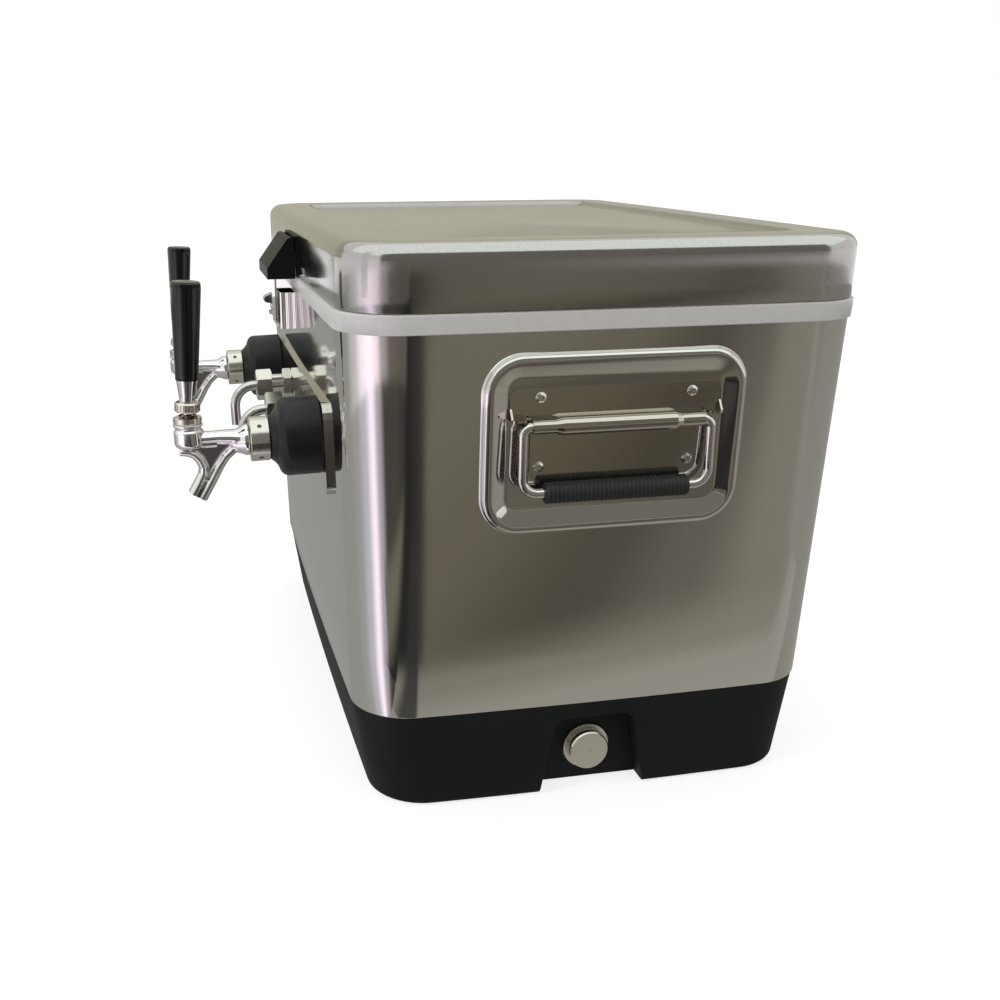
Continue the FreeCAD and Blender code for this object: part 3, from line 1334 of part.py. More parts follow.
PIECES = {
    "base_tub": lambda: base_tub(),
    "steel_belt": lambda: steel_belt(),
    "inner_liner": lambda: inner_liner(),
    "foam_core": lambda: foam_core(),
    "hinge_body_leaves": lambda: [hinge_body_leaf(-HINGE_X), hinge_body_leaf(HINGE_X)],
    "hinge_pins": lambda: [hinge_pin(-HINGE_X), hinge_pin(HINGE_X)],
    "body_screws": lambda: [screw(*place) for place in body_screw_places()],
    "strike_plate": lambda: strike_plate(),
    "bottle_opener": lambda: bottle_opener(),
    "face_plate": lambda: face_plate(),
    "coupling_nuts": lambda: pair(coupling_nut, TAP_X),
    "faucet_bonnets": lambda: pair(faucet_bonnet, TAP_X),
    "wall_back_nuts": lambda: pair(lambda x: back_nut(x, SHANK_R), TAP_X) + pair(
        lambda x: back_nut(x, INLET_R), INLET_X),
    "inlet_bulkheads": lambda: pair(inlet_bulkhead, INLET_X),
    "inlet_lock_nuts": lambda: pair(inlet_lock_nut, INLET_X),
    "inlet_hex_nuts": lambda: pair(inlet_hex_nut, INLET_X),
    "coil_union_nuts": lambda: pair(lambda x: union_nut(x, SHANK_TAIL), TAP_X) + pair(
        lambda x: union_nut(x, INLET_TAIL), INLET_X),
    "coil_stands": lambda: [coil_stand(-1), coil_stand(1)],
    "handle_rivets": lambda: [
        at_end(rivet(y, up), side) for side in (-1, 1) for y in (-RIVET_Y, RIVET_Y) for up in RIVET_UP],
    "drain_body": lambda: drain_body(),
    "drain_cap_seal": lambda: drain_cap_seal(),
    "drain_cap": lambda: drain_cap(),
    "lid_skin": lambda: lid_skin(),
    "lid_liner": lambda: lid_liner(),
    "lid_foam": lambda: lid_foam(),
    "hinge_lid_leaves": lambda: [hinge_lid_leaf(-HINGE_X), hinge_lid_leaf(HINGE_X)],
    "lid_screws": lambda: [screw(*place) for place in lid_screw_places()],
    "latch_bracket": lambda: latch_bracket(),
    "latch_pin": lambda: latch_pin(),
    "latch_lever": lambda: latch_lever(),
    "latch_tongue": lambda: latch_tongue(),
}

for word, side in (("left", -1), ("right", 1)):
    tap_x = side * TAP_X
    PIECES[f"shank_collar_{word}"] = lambda x=tap_x: at_front(shank_collar(x))
    PIECES[f"faucet_shank_{word}"] = lambda x=tap_x: at_front(faucet_shank(x))
    PIECES[f"faucet_body_{word}"] = lambda x=tap_x: at_front(faucet_body(x))
    PIECES[f"faucet_shaft_{word}"] = lambda x=tap_x: at_front(faucet_shaft(x))
    PIECES[f"seat_washer_{word}"] = lambda x=tap_x: at_front(seat_washer(x))
    PIECES[f"lever_stem_{word}"] = lambda x=tap_x: on_lever(lever_stem(), x)
    PIECES[f"jam_collar_{word}"] = lambda x=tap_x: on_lever(jam_collar(), x)
    PIECES[f"ferrule_{word}"] = lambda x=tap_x: on_lever(ferrule(), x)
    PIECES[f"tap_knob_{word}"] = lambda x=tap_x: on_lever(knob(), x)
    PIECES[f"inlet_elbow_{word}"] = lambda x=side * INLET_X: at_front(inlet_elbow(x))
    PIECES[f"cooling_coil_{word}"] = lambda s=side: cooling_coil(s)
    PIECES[f"handle_plate_{word}"] = lambda s=side: handle_plate(s)
    PIECES[f"handle_bail_{word}"] = lambda s=side: bail(s)
    PIECES[f"handle_grip_{word}"] = lambda s=side: grip(s)

os.makedirs("parts", exist_ok=True)
for name, make in PIECES.items():
    made = make()
    shape = Part.makeCompound(made) if isinstance(made, list) else made
    bad = "" if shape.isValid() else " NOT VALID"
    print(f"{name}: {len(shape.Solids)} solid(s), {shape.Volume / 1000:.2f} cm3{bad}")
    shape.exportStep(f"parts/{name}.step")
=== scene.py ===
import math

import bmesh
import bpy
from mathutils import Euler, Matrix, Vector


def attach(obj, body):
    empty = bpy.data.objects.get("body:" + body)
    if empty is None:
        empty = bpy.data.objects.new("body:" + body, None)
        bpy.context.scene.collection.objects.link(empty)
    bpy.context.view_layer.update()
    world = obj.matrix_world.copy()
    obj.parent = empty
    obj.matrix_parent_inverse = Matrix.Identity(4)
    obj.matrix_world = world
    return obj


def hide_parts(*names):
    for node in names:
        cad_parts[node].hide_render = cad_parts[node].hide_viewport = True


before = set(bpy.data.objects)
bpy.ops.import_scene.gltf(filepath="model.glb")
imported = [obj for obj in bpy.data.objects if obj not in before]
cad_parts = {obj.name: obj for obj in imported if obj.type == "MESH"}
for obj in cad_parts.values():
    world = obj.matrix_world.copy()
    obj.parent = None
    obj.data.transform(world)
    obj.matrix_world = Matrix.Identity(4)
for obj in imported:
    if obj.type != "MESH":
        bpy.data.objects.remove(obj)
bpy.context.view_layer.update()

# ------------------------------------------------------------------------------------------------ the picture
# The cooler stands on a white floor, seen from above its right front corner. Daylight falls from a tall window at
# the front. Cards on the floor and round the cooler, which metal alone sees, stand for the room that it mirrors.

bpy.context.scene.view_settings.view_transform = "Standard"

EYE = (1.104084, -0.318618, 0.514142)
YAW, PITCH, ROLL = math.radians(78.1965), math.radians(17.0219), math.radians(-0.2035)
LENS_MM, SHIFT_X, SHIFT_Y = 42.2404, 0.082044, 0.003785
camera = bpy.data.objects.new("camera", bpy.data.cameras.new("camera"))
bpy.context.scene.collection.objects.link(camera)
camera.location = EYE
camera.rotation_euler = (
    Matrix.Rotation(YAW, 3, "Z") @ Matrix.Rotation(math.pi / 2 - PITCH, 3, "X") @ Matrix.Rotation(ROLL, 3, "Z")
).to_euler()
camera.data.lens = LENS_MM
camera.data.shift_x = SHIFT_X
camera.data.shift_y = SHIFT_Y
bpy.context.scene.camera = camera


def seen(tree):
    """Output that is 1 for rays that show the background: from the camera, from metal and through glass."""
    path = tree.nodes.new("ShaderNodeLightPath")
    sharp = tree.nodes.new("ShaderNodeMath")
    sharp.operation = "MAXIMUM"
    tree.links.new(path.outputs["Is Glossy Ray"], sharp.inputs[0])
    tree.links.new(path.outputs["Is Transmission Ray"], sharp.inputs[1])
    either = tree.nodes.new("ShaderNodeMath")
    either.operation = "MAXIMUM"
    tree.links.new(path.outputs["Is Camera Ray"], either.inputs[0])
    tree.links.new(sharp.outputs[0], either.inputs[1])
    return either.outputs[0]


SKY_LIGHT = 0.66
world = bpy.data.worlds.new("room")
world.use_nodes = True
bpy.context.scene.world = world
sky = world.node_tree
sky.nodes.clear()
shown = sky.nodes.new("ShaderNodeBackground")
light = sky.nodes.new("ShaderNodeBackground")
light.inputs["Strength"].default_value = SKY_LIGHT
either = sky.nodes.new("ShaderNodeMixShader")
end = sky.nodes.new("ShaderNodeOutputWorld")
for one in (shown, light):
    one.inputs["Color"].default_value = (1, 1, 1, 1)
sky.links.new(seen(sky), either.inputs["Fac"])
sky.links.new(light.outputs[0], either.inputs[1])
sky.links.new(shown.outputs[0], either.inputs[2])
sky.links.new(either.outputs[0], end.inputs["Surface"])

FLOOR_SIZE = 40.0
FLOOR_DROP = 0.0004
PAPER, PAPER_GLOW = 0.45, 0.76
bpy.ops.object.select_all(action="DESELECT")
bpy.ops.mesh.primitive_plane_add(size=FLOOR_SIZE, location=(0, 0, -FLOOR_DROP))
floor = bpy.context.object
floor.name = "floor"
paper = bpy.data.materials.new("floor_paper")
paper.use_nodes = True
tree = paper.node_tree
tree.nodes.clear()
matt = tree.nodes.new("ShaderNodeBsdfDiffuse")
matt.inputs["Color"].default_value = (PAPER, PAPER, PAPER, 1)
glow = tree.nodes.new("ShaderNodeEmission")
glow.inputs["Color"].default_value = (PAPER_GLOW, PAPER_GLOW, PAPER_GLOW, 1)
both = tree.nodes.new("ShaderNodeAddShader")
pick = tree.nodes.new("ShaderNodeMixShader")
end = tree.nodes.new("ShaderNodeOutputMaterial")
tree.links.new(matt.outputs[0], both.inputs[0])
tree.links.new(glow.outputs[0], both.inputs[1])
tree.links.new(seen(tree), pick.inputs["Fac"])
tree.links.new(matt.outputs[0], pick.inputs[1])
tree.links.new(both.outputs[0], pick.inputs[2])
tree.links.new(pick.outputs[0], end.inputs["Surface"])
floor.data.materials.append(paper)


def card(name, shape, size, place, turn, stops, round_about=False):
    """A reflection card that only mirror-like surfaces see. Its tones run across it, or turn about its middle."""
    bpy.ops.object.select_all(action="DESELECT")
    shape(location=place, rotation=turn)
    made = bpy.context.object
    made.name = name
    made.scale = (size[0], size[1], 1)
    look = bpy.data.materials.new(name)
    look.use_nodes = True
    tree = look.node_tree
    tree.nodes.clear()
    own = tree.nodes.new("ShaderNodeTexCoord")
    if round_about:
        share = tree.nodes.new("ShaderNodeTexGradient")
        share.gradient_type = "RADIAL"
        tree.links.new(own.outputs["Object"], share.inputs["Vector"])
    else:
        axes = tree.nodes.new("ShaderNodeSeparateXYZ")
        share = tree.nodes.new("ShaderNodeMath")
        share.operation = "ADD"
        share.inputs[1].default_value = 0.5
        tree.links.new(own.outputs["Object"], axes.inputs["Vector"])
        tree.links.new(axes.outputs["Y"], share.inputs[0])
    tones = tree.nodes.new("ShaderNodeValToRGB")
    tones.color_ramp.interpolation = "EASE"
    for number, (at, colour) in enumerate(stops):
        stop = tones.color_ramp.elements[number] if number < 2 else tones.color_ramp.elements.new(at)
        stop.position = at
        stop.color = (*colour[:3], colour[3] if len(colour) > 3 else 1)
    tree.links.new(share.outputs[0], tones.inputs["Fac"])
    lit = tree.nodes.new("ShaderNodeEmission")
    tree.links.new(tones.outputs["Color"], lit.inputs["Color"])
    clear = tree.nodes.new("ShaderNodeBsdfTransparent")
    soft = tree.nodes.new("ShaderNodeMixShader")
    tree.links.new(tones.outputs["Alpha"], soft.inputs["Fac"])
    tree.links.new(clear.outputs[0], soft.inputs[1])
    tree.links.new(lit.outputs[0], soft.inputs[2])
    out = tree.nodes.new("ShaderNodeOutputMaterial")
    tree.links.new(soft.outputs[0], out.inputs["Surface"])
    made.data.materials.append(look)
    made.visible_camera = made.visible_diffuse = made.visible_shadow = False


def disc(location, rotation):
    bpy.ops.mesh.primitive_circle_add(vertices=64, radius=1, fill_type="NGON", location=location, rotation=rotation)


def sheet_of_card(location, rotation):
    bpy.ops.mesh.primitive_plane_add(size=1, location=location, rotation=rotation)


def plain(tone):
    """The stops of a card of one tone."""
    return (0.0, tone), (1.0, tone)


# The cards on the floor overlap, so each lies at a height of its own. A fourth number in a tone is how far it covers.
NEAR_CORNER = (0.28, -0.18)
ROUND_CORNER = (  # direction on the floor from the near corner in degrees, tone
    (-180, (0.34, 0.345, 0.33)), (-120, (0.42, 0.42, 0.40)), (-100, (0.49, 0.49, 0.51)), (-80, (0.74, 0.74, 0.82)),
    (-64, (1.6, 1.42, 1.66)), (-51, (0.62, 0.56, 0.63)), (-38, (0.08, 0.08, 0.07)), (-20, (0.09, 0.085, 0.07)),
    (-4, (0.065, 0.06, 0.06)), (5, (0.05, 0.045, 0.045)), (9, (0.22, 0.205, 0.165)), (34, (0.25, 0.24, 0.20)),
    (70, (0.36, 0.35, 0.32)), (180, (0.38, 0.38, 0.36)))
FAR_CORNER = ROUND_CORNER[:2] + (
    (-98, (0.80, 0.79, 0.82)), (-80, (1.5, 1.36, 1.52)), (-66, (1.85, 1.62, 1.82)), (-52, (1.5, 1.3, 1.44)),
    (-40, (0.60, 0.53, 0.57)), (-24, (0.20, 0.18, 0.16)), (-4, (0.16, 0.15, 0.13))) + ROUND_CORNER[-4:]
for reach, height, directions in ((3.4, 0.0008, FAR_CORNER), (1.12, 0.001, ROUND_CORNER)):
    card(f"card_round_corner_{reach}", disc, (reach, reach), (*NEAR_CORNER, height), (0, 0, 0),
         [((degrees + 180) / 360, tone) for degrees, tone in directions], round_about=True)

BEFORE_END = (  # share of the card's depth from its near side, tone
    (0.0, (0.22, 0.205, 0.165, 0)), (0.10, (0.22, 0.205, 0.165)), (0.28, (0.19, 0.175, 0.135)),
    (0.44, (0.115, 0.105, 0.085)), (0.54, (0.18, 0.17, 0.145)), (0.62, (0.30, 0.29, 0.25)),
    (0.8, (0.37, 0.36, 0.325)), (1.0, (0.37, 0.36, 0.325, 0)))
card("card_before_end", sheet_of_card, (3.2, 1.15), (1.59, 0.84, 0.0012), (0, 0, math.radians(34)), BEFORE_END)
EDGE_TURN = (0, 0, math.radians(8))
EDGE_FADE = (1.0, (0.1, 0.095, 0.08, 0))
card("card_edge_dark", sheet_of_card, (2.6, 0.24), (1.683, -0.064, 0.0014), EDGE_TURN,
     ((0.0, (0.03, 0.03, 0.03, 0)), (0.4, (0.03, 0.03, 0.03)), (0.95, (0.04, 0.04, 0.04)), EDGE_FADE))
card("card_edge_near", sheet_of_card, (0.45, 0.1), (0.556, -0.1586, 0.0018), EDGE_TURN,
     ((0.0, (0.05, 0.05, 0.05, 0)), (0.5, (0.05, 0.05, 0.05, 0.9)), (0.9, (0.05, 0.05, 0.05, 0.9)), EDGE_FADE))
card("card_close_to_end", sheet_of_card, (0.8, 0.36), (0.48, 0.15, 0.0016), (0, 0, math.radians(-104)),
     ((0.0, (0.46, 0.45, 0.42)), (0.3, (0.42, 0.41, 0.37)), (0.5, (0.33, 0.32, 0.28, 0.9)),
      (0.85, (0.25, 0.24, 0.2, 0))))
card("card_wall", sheet_of_card, (2.9, 6.0), (3.2, 0.0, 1.5), (0, -math.pi / 2, 0), plain((0.22, 0.21, 0.19)))
card("card_room", sheet_of_card, (3.0, 12.0), (-4.5, 0, 1.6), (0, math.pi / 2, 0), plain((0.52, 0.51, 0.405)))
card("card_ceiling", sheet_of_card, (8.0, 9.0), (2.6, 0, 3.0), (0, 0, 0), plain((1.36, 1.47, 1.42)))

WINDOW_PLACE, WINDOW_AIM = (0.9, -2.3, 1.15), (0, 0, 0.25)
WINDOW_SIZE, WINDOW_WATTS = (0.55, 1.7), 17.0
card("card_window", sheet_of_card, (2.3, 0.5), WINDOW_PLACE, (0, -math.pi / 2, math.radians(-70)),
     plain((0.9, 0.87, 0.95)))
lamp = bpy.data.lights.new("window", "AREA")
lamp.shape = "RECTANGLE"
lamp.size, lamp.size_y = WINDOW_SIZE
lamp.energy = WINDOW_WATTS
lamp.color = (0.97, 0.95, 1.0)
window = bpy.data.objects.new("window", lamp)
bpy.context.scene.collection.objects.link(window)
window.location = WINDOW_PLACE
window.visible_glossy = False
window.rotation_euler = (Vector(WINDOW_AIM) - Vector(WINDOW_PLACE)).to_track_quat("-Z", "Y").to_euler()

# ------------------------------------------------------------------------------------------------ base tub
# One deep injection-moulded tub of black polypropylene, fine-textured outside, with a rounded lower edge. It tapers
# towards the floor for the mould, and a recess is moulded in at the right end so that the drain cap stays inside it.


FINE_DETAIL, BROAD_SCALE, BROAD_DETAIL = 5.0, 9.0, 3.0


def finish(name, colour, spread, rough, metallic=0.0, grain=60.0, stretch=(1, 1, 1), bump=0.0, depth=0.0002,
           shine=0.5):
    """Procedural finish: fine grain varies the colour and relief, broad soft marks vary the roughness."""
    made = bpy.data.materials.new(name)
    made.use_nodes = True
    tree = made.node_tree
    shader = tree.nodes["Principled BSDF"]
    shader.inputs["Metallic"].default_value = metallic
    shader.inputs["Specular IOR Level"].default_value = shine
    place = tree.nodes.new("ShaderNodeTexCoord")
    drawn = tree.nodes.new("ShaderNodeMapping")
    drawn.inputs["Scale"].default_value = stretch
    tree.links.new(place.outputs["Object"], drawn.inputs["Vector"])
    fine = tree.nodes.new("ShaderNodeTexNoise")
    fine.inputs["Scale"].default_value = grain
    fine.inputs["Detail"].default_value = FINE_DETAIL
    tree.links.new(drawn.outputs["Vector"], fine.inputs["Vector"])
    marks = tree.nodes.new("ShaderNodeTexNoise")
    marks.inputs["Scale"].default_value = BROAD_SCALE
    marks.inputs["Detail"].default_value = BROAD_DETAIL
    tree.links.new(place.outputs["Object"], marks.inputs["Vector"])
    tones = tree.nodes.new("ShaderNodeValToRGB")
    for stop, at, change in zip(tones.color_ramp.elements, (0.3, 0.7), (1 - spread, 1 + spread)):
        stop.position = at
        stop.color = (*(min(1.0, c * change) for c in colour), 1)
    tree.links.new(fine.outputs["Fac"], tones.inputs["Fac"])
    tree.links.new(tones.outputs["Color"], shader.inputs["Base Color"])
    mixed = tree.nodes.new("ShaderNodeMath")
    mixed.operation = "MULTIPLY"
    tree.links.new(fine.outputs["Fac"], mixed.inputs[0])
    tree.links.new(marks.outputs["Fac"], mixed.inputs[1])
    polish = tree.nodes.new("ShaderNodeMapRange")
    for limit, value in (("From Min", 0.1), ("From Max", 0.45), ("To Min", rough[0]), ("To Max", rough[1])):
        polish.inputs[limit].default_value = value
    tree.links.new(mixed.outputs[0], polish.inputs["Value"])
    tree.links.new(polish.outputs["Result"], shader.inputs["Roughness"])
    if bump:
        relief = tree.nodes.new("ShaderNodeBump")
        relief.inputs["Strength"].default_value = bump
        relief.inputs["Distance"].default_value = depth
        tree.links.new(fine.outputs["Fac"], relief.inputs["Height"])
        tree.links.new(relief.outputs["Normal"], shader.inputs["Normal"])
    return made


def wear(material, *nodes):
    """Gives CAD nodes a finish."""
    for node in nodes:
        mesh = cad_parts[node].data
        mesh.materials.clear()
        mesh.materials.append(material)


def start(name):
    """A new piece, empty and in edit mode."""
    bpy.ops.object.select_all(action="DESELECT")
    made = bpy.data.objects.new(name, bpy.data.meshes.new(name))
    bpy.context.scene.collection.objects.link(made)
    bpy.context.view_layer.objects.active = made
    made.select_set(True)
    bpy.ops.object.mode_set(mode="EDIT")
    return made


def marked():
    """The mesh in edit mode and its layer of outline numbers: 0 for points just added."""
    mesh = bmesh.from_edit_mesh(bpy.context.edit_object.data)
    return mesh, mesh.verts.layers.int.get("outline") or mesh.verts.layers.int.new("outline")


def choose(test):
    """Selects the points whose place and outline number pass the test, and nothing else."""
    bpy.ops.mesh.select_all(action="DESELECT")
    mesh, number = marked()
    for point in mesh.verts:
        point.select = bool(test(point.co, point[number]))
    mesh.select_flush(True)
    bmesh.update_edit_mesh(bpy.context.edit_object.data)


def set_apart(piece):
    """Makes this piece the only selected object, in object mode."""
    bpy.ops.object.select_all(action="DESELECT")
    piece.select_set(True)
    bpy.context.view_layer.objects.active = piece


def work(piece, kind, **settings):
    """Adds a modifier with these settings to the piece and applies it."""
    set_apart(piece)
    step = piece.modifiers.new(kind.lower(), kind)
    for setting, value in settings.items():
        setattr(step, setting, value)
    bpy.ops.object.modifier_apply(modifier=step.name)


CORNER_STEPS, SIDE_CUTS = 12, 7
TOUCH = 1e-6


def outline(length, depth, radius, z, crown):
    """Adds a rectangle with round corners and sides bowed out by crown, which its size includes."""
    across, along = length / 2 - crown, depth / 2 - crown
    bpy.ops.mesh.primitive_circle_add(vertices=4, radius=math.sqrt(2), fill_type="NGON", location=(0, 0, z),
                                      rotation=(0, 0, math.pi / 4))
    bpy.ops.transform.resize(value=(across, along, 1), center_override=(0, 0, z))
    choose(lambda co, k: k == 0)
    bpy.ops.mesh.bevel(offset_type="OFFSET", offset=radius, segments=CORNER_STEPS, affect="VERTICES",
                       clamp_overlap=False)
    choose(lambda co, k: False)
    mesh, number = marked()
    for edge in mesh.edges:
        a, b = edge.verts
        straight = min(abs(a.co.x - b.co.x), abs(a.co.y - b.co.y)) < TOUCH
        edge.select = straight and a[number] == b[number] == 0
    bmesh.update_edit_mesh(bpy.context.edit_object.data)
    bpy.ops.mesh.subdivide(number_cuts=SIDE_CUTS)
    choose(lambda co, k: k == 0)
    bpy.ops.mesh.delete(type="ONLY_FACE")
    for way, out, side in (((1, 0, 0), across, along), ((0, 1, 0), along, across),
                           ((-1, 0, 0), across, along), ((0, -1, 0), along, across)):
        way = Vector(way)
        choose(lambda co, k: k == 0 and (co - Vector((0, 0, z)) - way * out).length < 10 * TOUCH)
        bpy.ops.transform.translate(value=way * crown, use_proportional_edit=True, use_proportional_connected=True,
                                    proportional_edit_falloff="INVERSE_SQUARE", proportional_size=side - radius)


def loft(name, outlines, crown=0.002, caps=()):
    """Shell through outlines of (length, depth, corner radius, height); caps are the numbers of filled ones."""
    made = start(name)
    for number, (length, depth, radius, z) in enumerate(outlines, 1):
        outline(length, depth, radius, z, crown)
        mesh, layer = marked()
        for point in mesh.verts:
            if point[layer] == 0:
                point[layer] = number
        if number > 1:
            choose(lambda co, k: k in (number - 1, number))
            bpy.ops.mesh.bridge_edge_loops()
    for number in caps:
        choose(lambda co, k: k == number % (len(outlines) + 1))
        bpy.ops.mesh.edge_face_add()
    return made


def complete(made, body, material, angle=40.0):
    """Closes the edit, turns the faces outwards, smooths the piece and hands it to its body."""
    bpy.ops.mesh.select_all(action="SELECT")
    bpy.ops.mesh.normals_make_consistent(inside=False)
    mesh = bmesh.from_edit_mesh(made.data)
    rightmost = max(mesh.faces, key=lambda face: face.calc_center_median().x)
    if rightmost.normal.x < 0:
        bpy.ops.mesh.flip_normals()
    bpy.ops.object.mode_set(mode="OBJECT")
    if "outline" in made.data.attributes:
        made.data.attributes.remove(made.data.attributes["outline"])
    bpy.ops.object.shade_smooth_by_angle(angle=math.radians(angle))
    made.data.materials.append(material)
    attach(made, body)


BASE_TOP, BASE_HEIGHT, BASE_FOOT = (0.5706, 0.3916), 0.080, (0.5696, 0.3660)
BASE_CORNER, BASE_EDGE = 0.047, 0.005


def base_outline(z, inset):
    share = z / BASE_HEIGHT
    length, depth = (low + (high - low) * share for low, high in zip(BASE_FOOT, BASE_TOP))
    return (length - 2 * inset, depth - 2 * inset, BASE_CORNER - inset, z)


ROUNDING = [math.radians(a) for a in (0, 18, 36, 54, 72, 90)]
BASE_WALL = ((0.03, 0), (0.055, 0), (0.0792, 0), (0.0798, 0.0003), (0.08, 0.001))  # height, inset
WELL = ((0.4990, 0.3200, 0.034, 0.0797), (0.4925, 0.3167, 0.034, 0.0190))  # room for the liner
levels = [base_outline(BASE_EDGE * (1 - math.cos(a)), BASE_EDGE * (1 - math.sin(a))) for a in ROUNDING]
levels += [base_outline(*step) for step in BASE_WALL]
levels += WELL
tub = loft("base_moulding", levels, caps=(1, len(levels)))
bpy.ops.mesh.select_all(action="SELECT")
bpy.ops.mesh.normals_make_consistent(inside=False)
bpy.ops.object.mode_set(mode="OBJECT")

NOTCH_BACK, NOTCH_REACH, NOTCH_TOP, NOTCH_BELOW = 0.264, 0.1, 0.0665, 0.01
NOTCH_TOP_HALF, NOTCH_FOOT_HALF, NOTCH_ROUND = 0.033, 0.047, 0.009
notch_middle = (NOTCH_BACK + NOTCH_REACH / 2, 0, (NOTCH_TOP - NOTCH_BELOW) / 2)
bpy.ops.object.select_all(action="DESELECT")
bpy.ops.mesh.primitive_cube_add(size=1, location=notch_middle)
cutter = bpy.context.object
bpy.ops.object.mode_set(mode="EDIT")
bpy.ops.transform.resize(value=(NOTCH_REACH, 2 * NOTCH_FOOT_HALF, NOTCH_TOP + NOTCH_BELOW),
                         center_override=notch_middle)
choose(lambda co, k: co.z > 0)
bpy.ops.transform.resize(value=(1, NOTCH_TOP_HALF / NOTCH_FOOT_HALF, 1), center_override=(0, 0, 0))
mesh, layer = marked()
bpy.ops.mesh.select_all(action="DESELECT")
for edge in mesh.edges:
    a, b = (v.co for v in edge.verts)
    edge.select = abs(a.y - b.y) < TOUCH and abs(a.z - b.z) < TOUCH and a.z > 0
bmesh.update_edit_mesh(cutter.data)
bpy.ops.mesh.bevel(offset=NOTCH_ROUND, segments=6)
bpy.ops.mesh.select_all(action="SELECT")
bpy.ops.mesh.normals_make_consistent(inside=False)
bpy.ops.object.mode_set(mode="OBJECT")
work(tub, "BOOLEAN", operation="DIFFERENCE", object=cutter)
bpy.data.objects.remove(cutter)
work(tub, "BEVEL", width=0.0011, segments=3, limit_method="ANGLE", angle_limit=math.radians(45))
bpy.ops.object.mode_set(mode="EDIT")
black_moulding = finish("black_moulding", (0.0085, 0.0108, 0.0105), 0.18, (0.5, 0.68), grain=900.0, bump=0.2,
                        shine=0.16)
complete(tub, "cooler", black_moulding, angle=30.0)
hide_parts("base_tub")

# ------------------------------------------------------------------------------------------------ steel belt
# A wrap of brushed stainless sheet round the body, its ends locked at the back. The sides bow out a little, and a
# picture-frame bead is pressed into each end round the handle.

BELT_LOW, BELT_HIGH = (0.5726, 0.3936), (0.605, 0.410)
BELT_FOOT, BELT_TOP, BELT_CORNER = 0.080, 0.386, 0.048


def belt_outline(z, inset, radius=BELT_CORNER):
    share = (z - BELT_FOOT) / (BELT_TOP - BELT_FOOT)
    length, depth = (low + (high - low) * share for low, high in zip(BELT_LOW, BELT_HIGH))
    return (length - 2 * inset, depth - 2 * inset, radius, z)


BELT_WALL = (  # height, inset
    (0.0803, 0.0030), (0.0801, 0.0008), (0.0804, 0.0002), (0.0812, 0), (0.13, 0), (0.18, 0), (0.23, 0), (0.28, 0),
    (0.33, 0), (BELT_TOP, 0))
belt = loft("belt_wrap", [belt_outline(*step) for step in BELT_WALL])
brushed = finish("brushed_stainless", (0.62, 0.605, 0.575), 0.03, (0.055, 0.095), metallic=1.0, grain=2400.0,
                 stretch=(1, 1, 0.004), bump=0.03, depth=0.00005)
complete(belt, "cooler", brushed)
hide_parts("steel_belt")

MM = 0.001  # a millimetre in metres
PAN = (0.2045, 0.138, 0.030)
PAN_Z, PAN_TILT = 0.3015, math.radians(3.03)
PAN_PROFILE = (  # inset from the frame's outside, height out of the wall, both in millimetres
    (-3.2, -1.7), (-1.4, -0.9), (-0.4, -0.1), (0.0, 1.0), (0.35, 2.4), (1.1, 3.7), (2.3, 4.7), (3.7, 5.15),
    (5.2, 5.2), (7.0, 4.85), (8.6, 4.25), (10.4, 3.5), (12.6, 2.6), (14.8, 1.65), (16.6, 0.85), (17.8, 0.4),
    (18.8, 0.22))
PAN_FLOOR_CORNER = 0.009


def pan_outline(inset, height):
    share = max(0.0, inset / PAN_PROFILE[-1][0])
    radius = PAN[2] + (PAN_FLOOR_CORNER - PAN[2]) * share - min(0.0, inset) * MM
    return (PAN[0] - 2 * inset * MM, PAN[1] - 2 * inset * MM, radius, height * MM)


pan = loft("belt_frame_right", [pan_outline(*step) for step in PAN_PROFILE], crown=0.0001,
           caps=(len(PAN_PROFILE),))
complete(pan, "cooler", brushed)


def settle(piece, placed):
    """Moves a piece to its place, which goes into its mesh."""
    set_apart(piece)
    piece.matrix_world = placed
    bpy.ops.object.transform_apply(location=True, rotation=True, scale=True)


upright = Matrix.Rotation(PAN_TILT, 4, "Y") @ Euler((math.pi / 2, 0, math.pi / 2)).to_matrix().to_4x4()
settle(pan, Matrix.Translation((belt_outline(PAN_Z, 0)[0] / 2, 0, PAN_Z)) @ upright)
bpy.ops.object.duplicate()
left_pan = bpy.context.object
left_pan.name = "belt_frame_left"
settle(left_pan, Matrix.Rotation(math.pi, 4, "Z"))
for frame_piece in (pan, left_pan):
    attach(frame_piece, "cooler")

# ------------------------------------------------------------------------------------------------ liner and foam
# A white polystyrene inner tub, vacuum-formed with a broad rim that caps the belt. Polyurethane foam poured between
# the skins fixes all of them together.

white_shell = finish("white_shell", (0.72, 0.70, 0.675), 0.02, (0.3, 0.36), grain=160.0, bump=0.06)
cream_foam = finish("cream_foam", (0.74, 0.66, 0.46), 0.08, (0.8, 0.95), grain=700.0, bump=0.4)
RIM_TOP, RIM_PROUD, RIM_ROUND, RIM_INNER_ROUND = 0.401, 0.001, 0.0018, 0.004
LINER_WALL, LINER_FLOOR, LINER_FLOOR_ROUND = 0.038, 0.022, 0.006
levels = [belt_outline(BELT_TOP + 0.0002, 0.002), belt_outline(BELT_TOP + 0.0001, -RIM_PROUD * 0.4),
          belt_outline(BELT_TOP + 0.0006, -RIM_PROUD, 0.049)]
levels += [belt_outline(RIM_TOP - RIM_ROUND * (1 - math.sin(a)), RIM_ROUND * (1 - math.cos(a)) - RIM_PROUD, 0.0485)
           for a in ROUNDING]
levels += [belt_outline(RIM_TOP - 0.00005, LINER_WALL - RIM_INNER_ROUND, 0.036)]
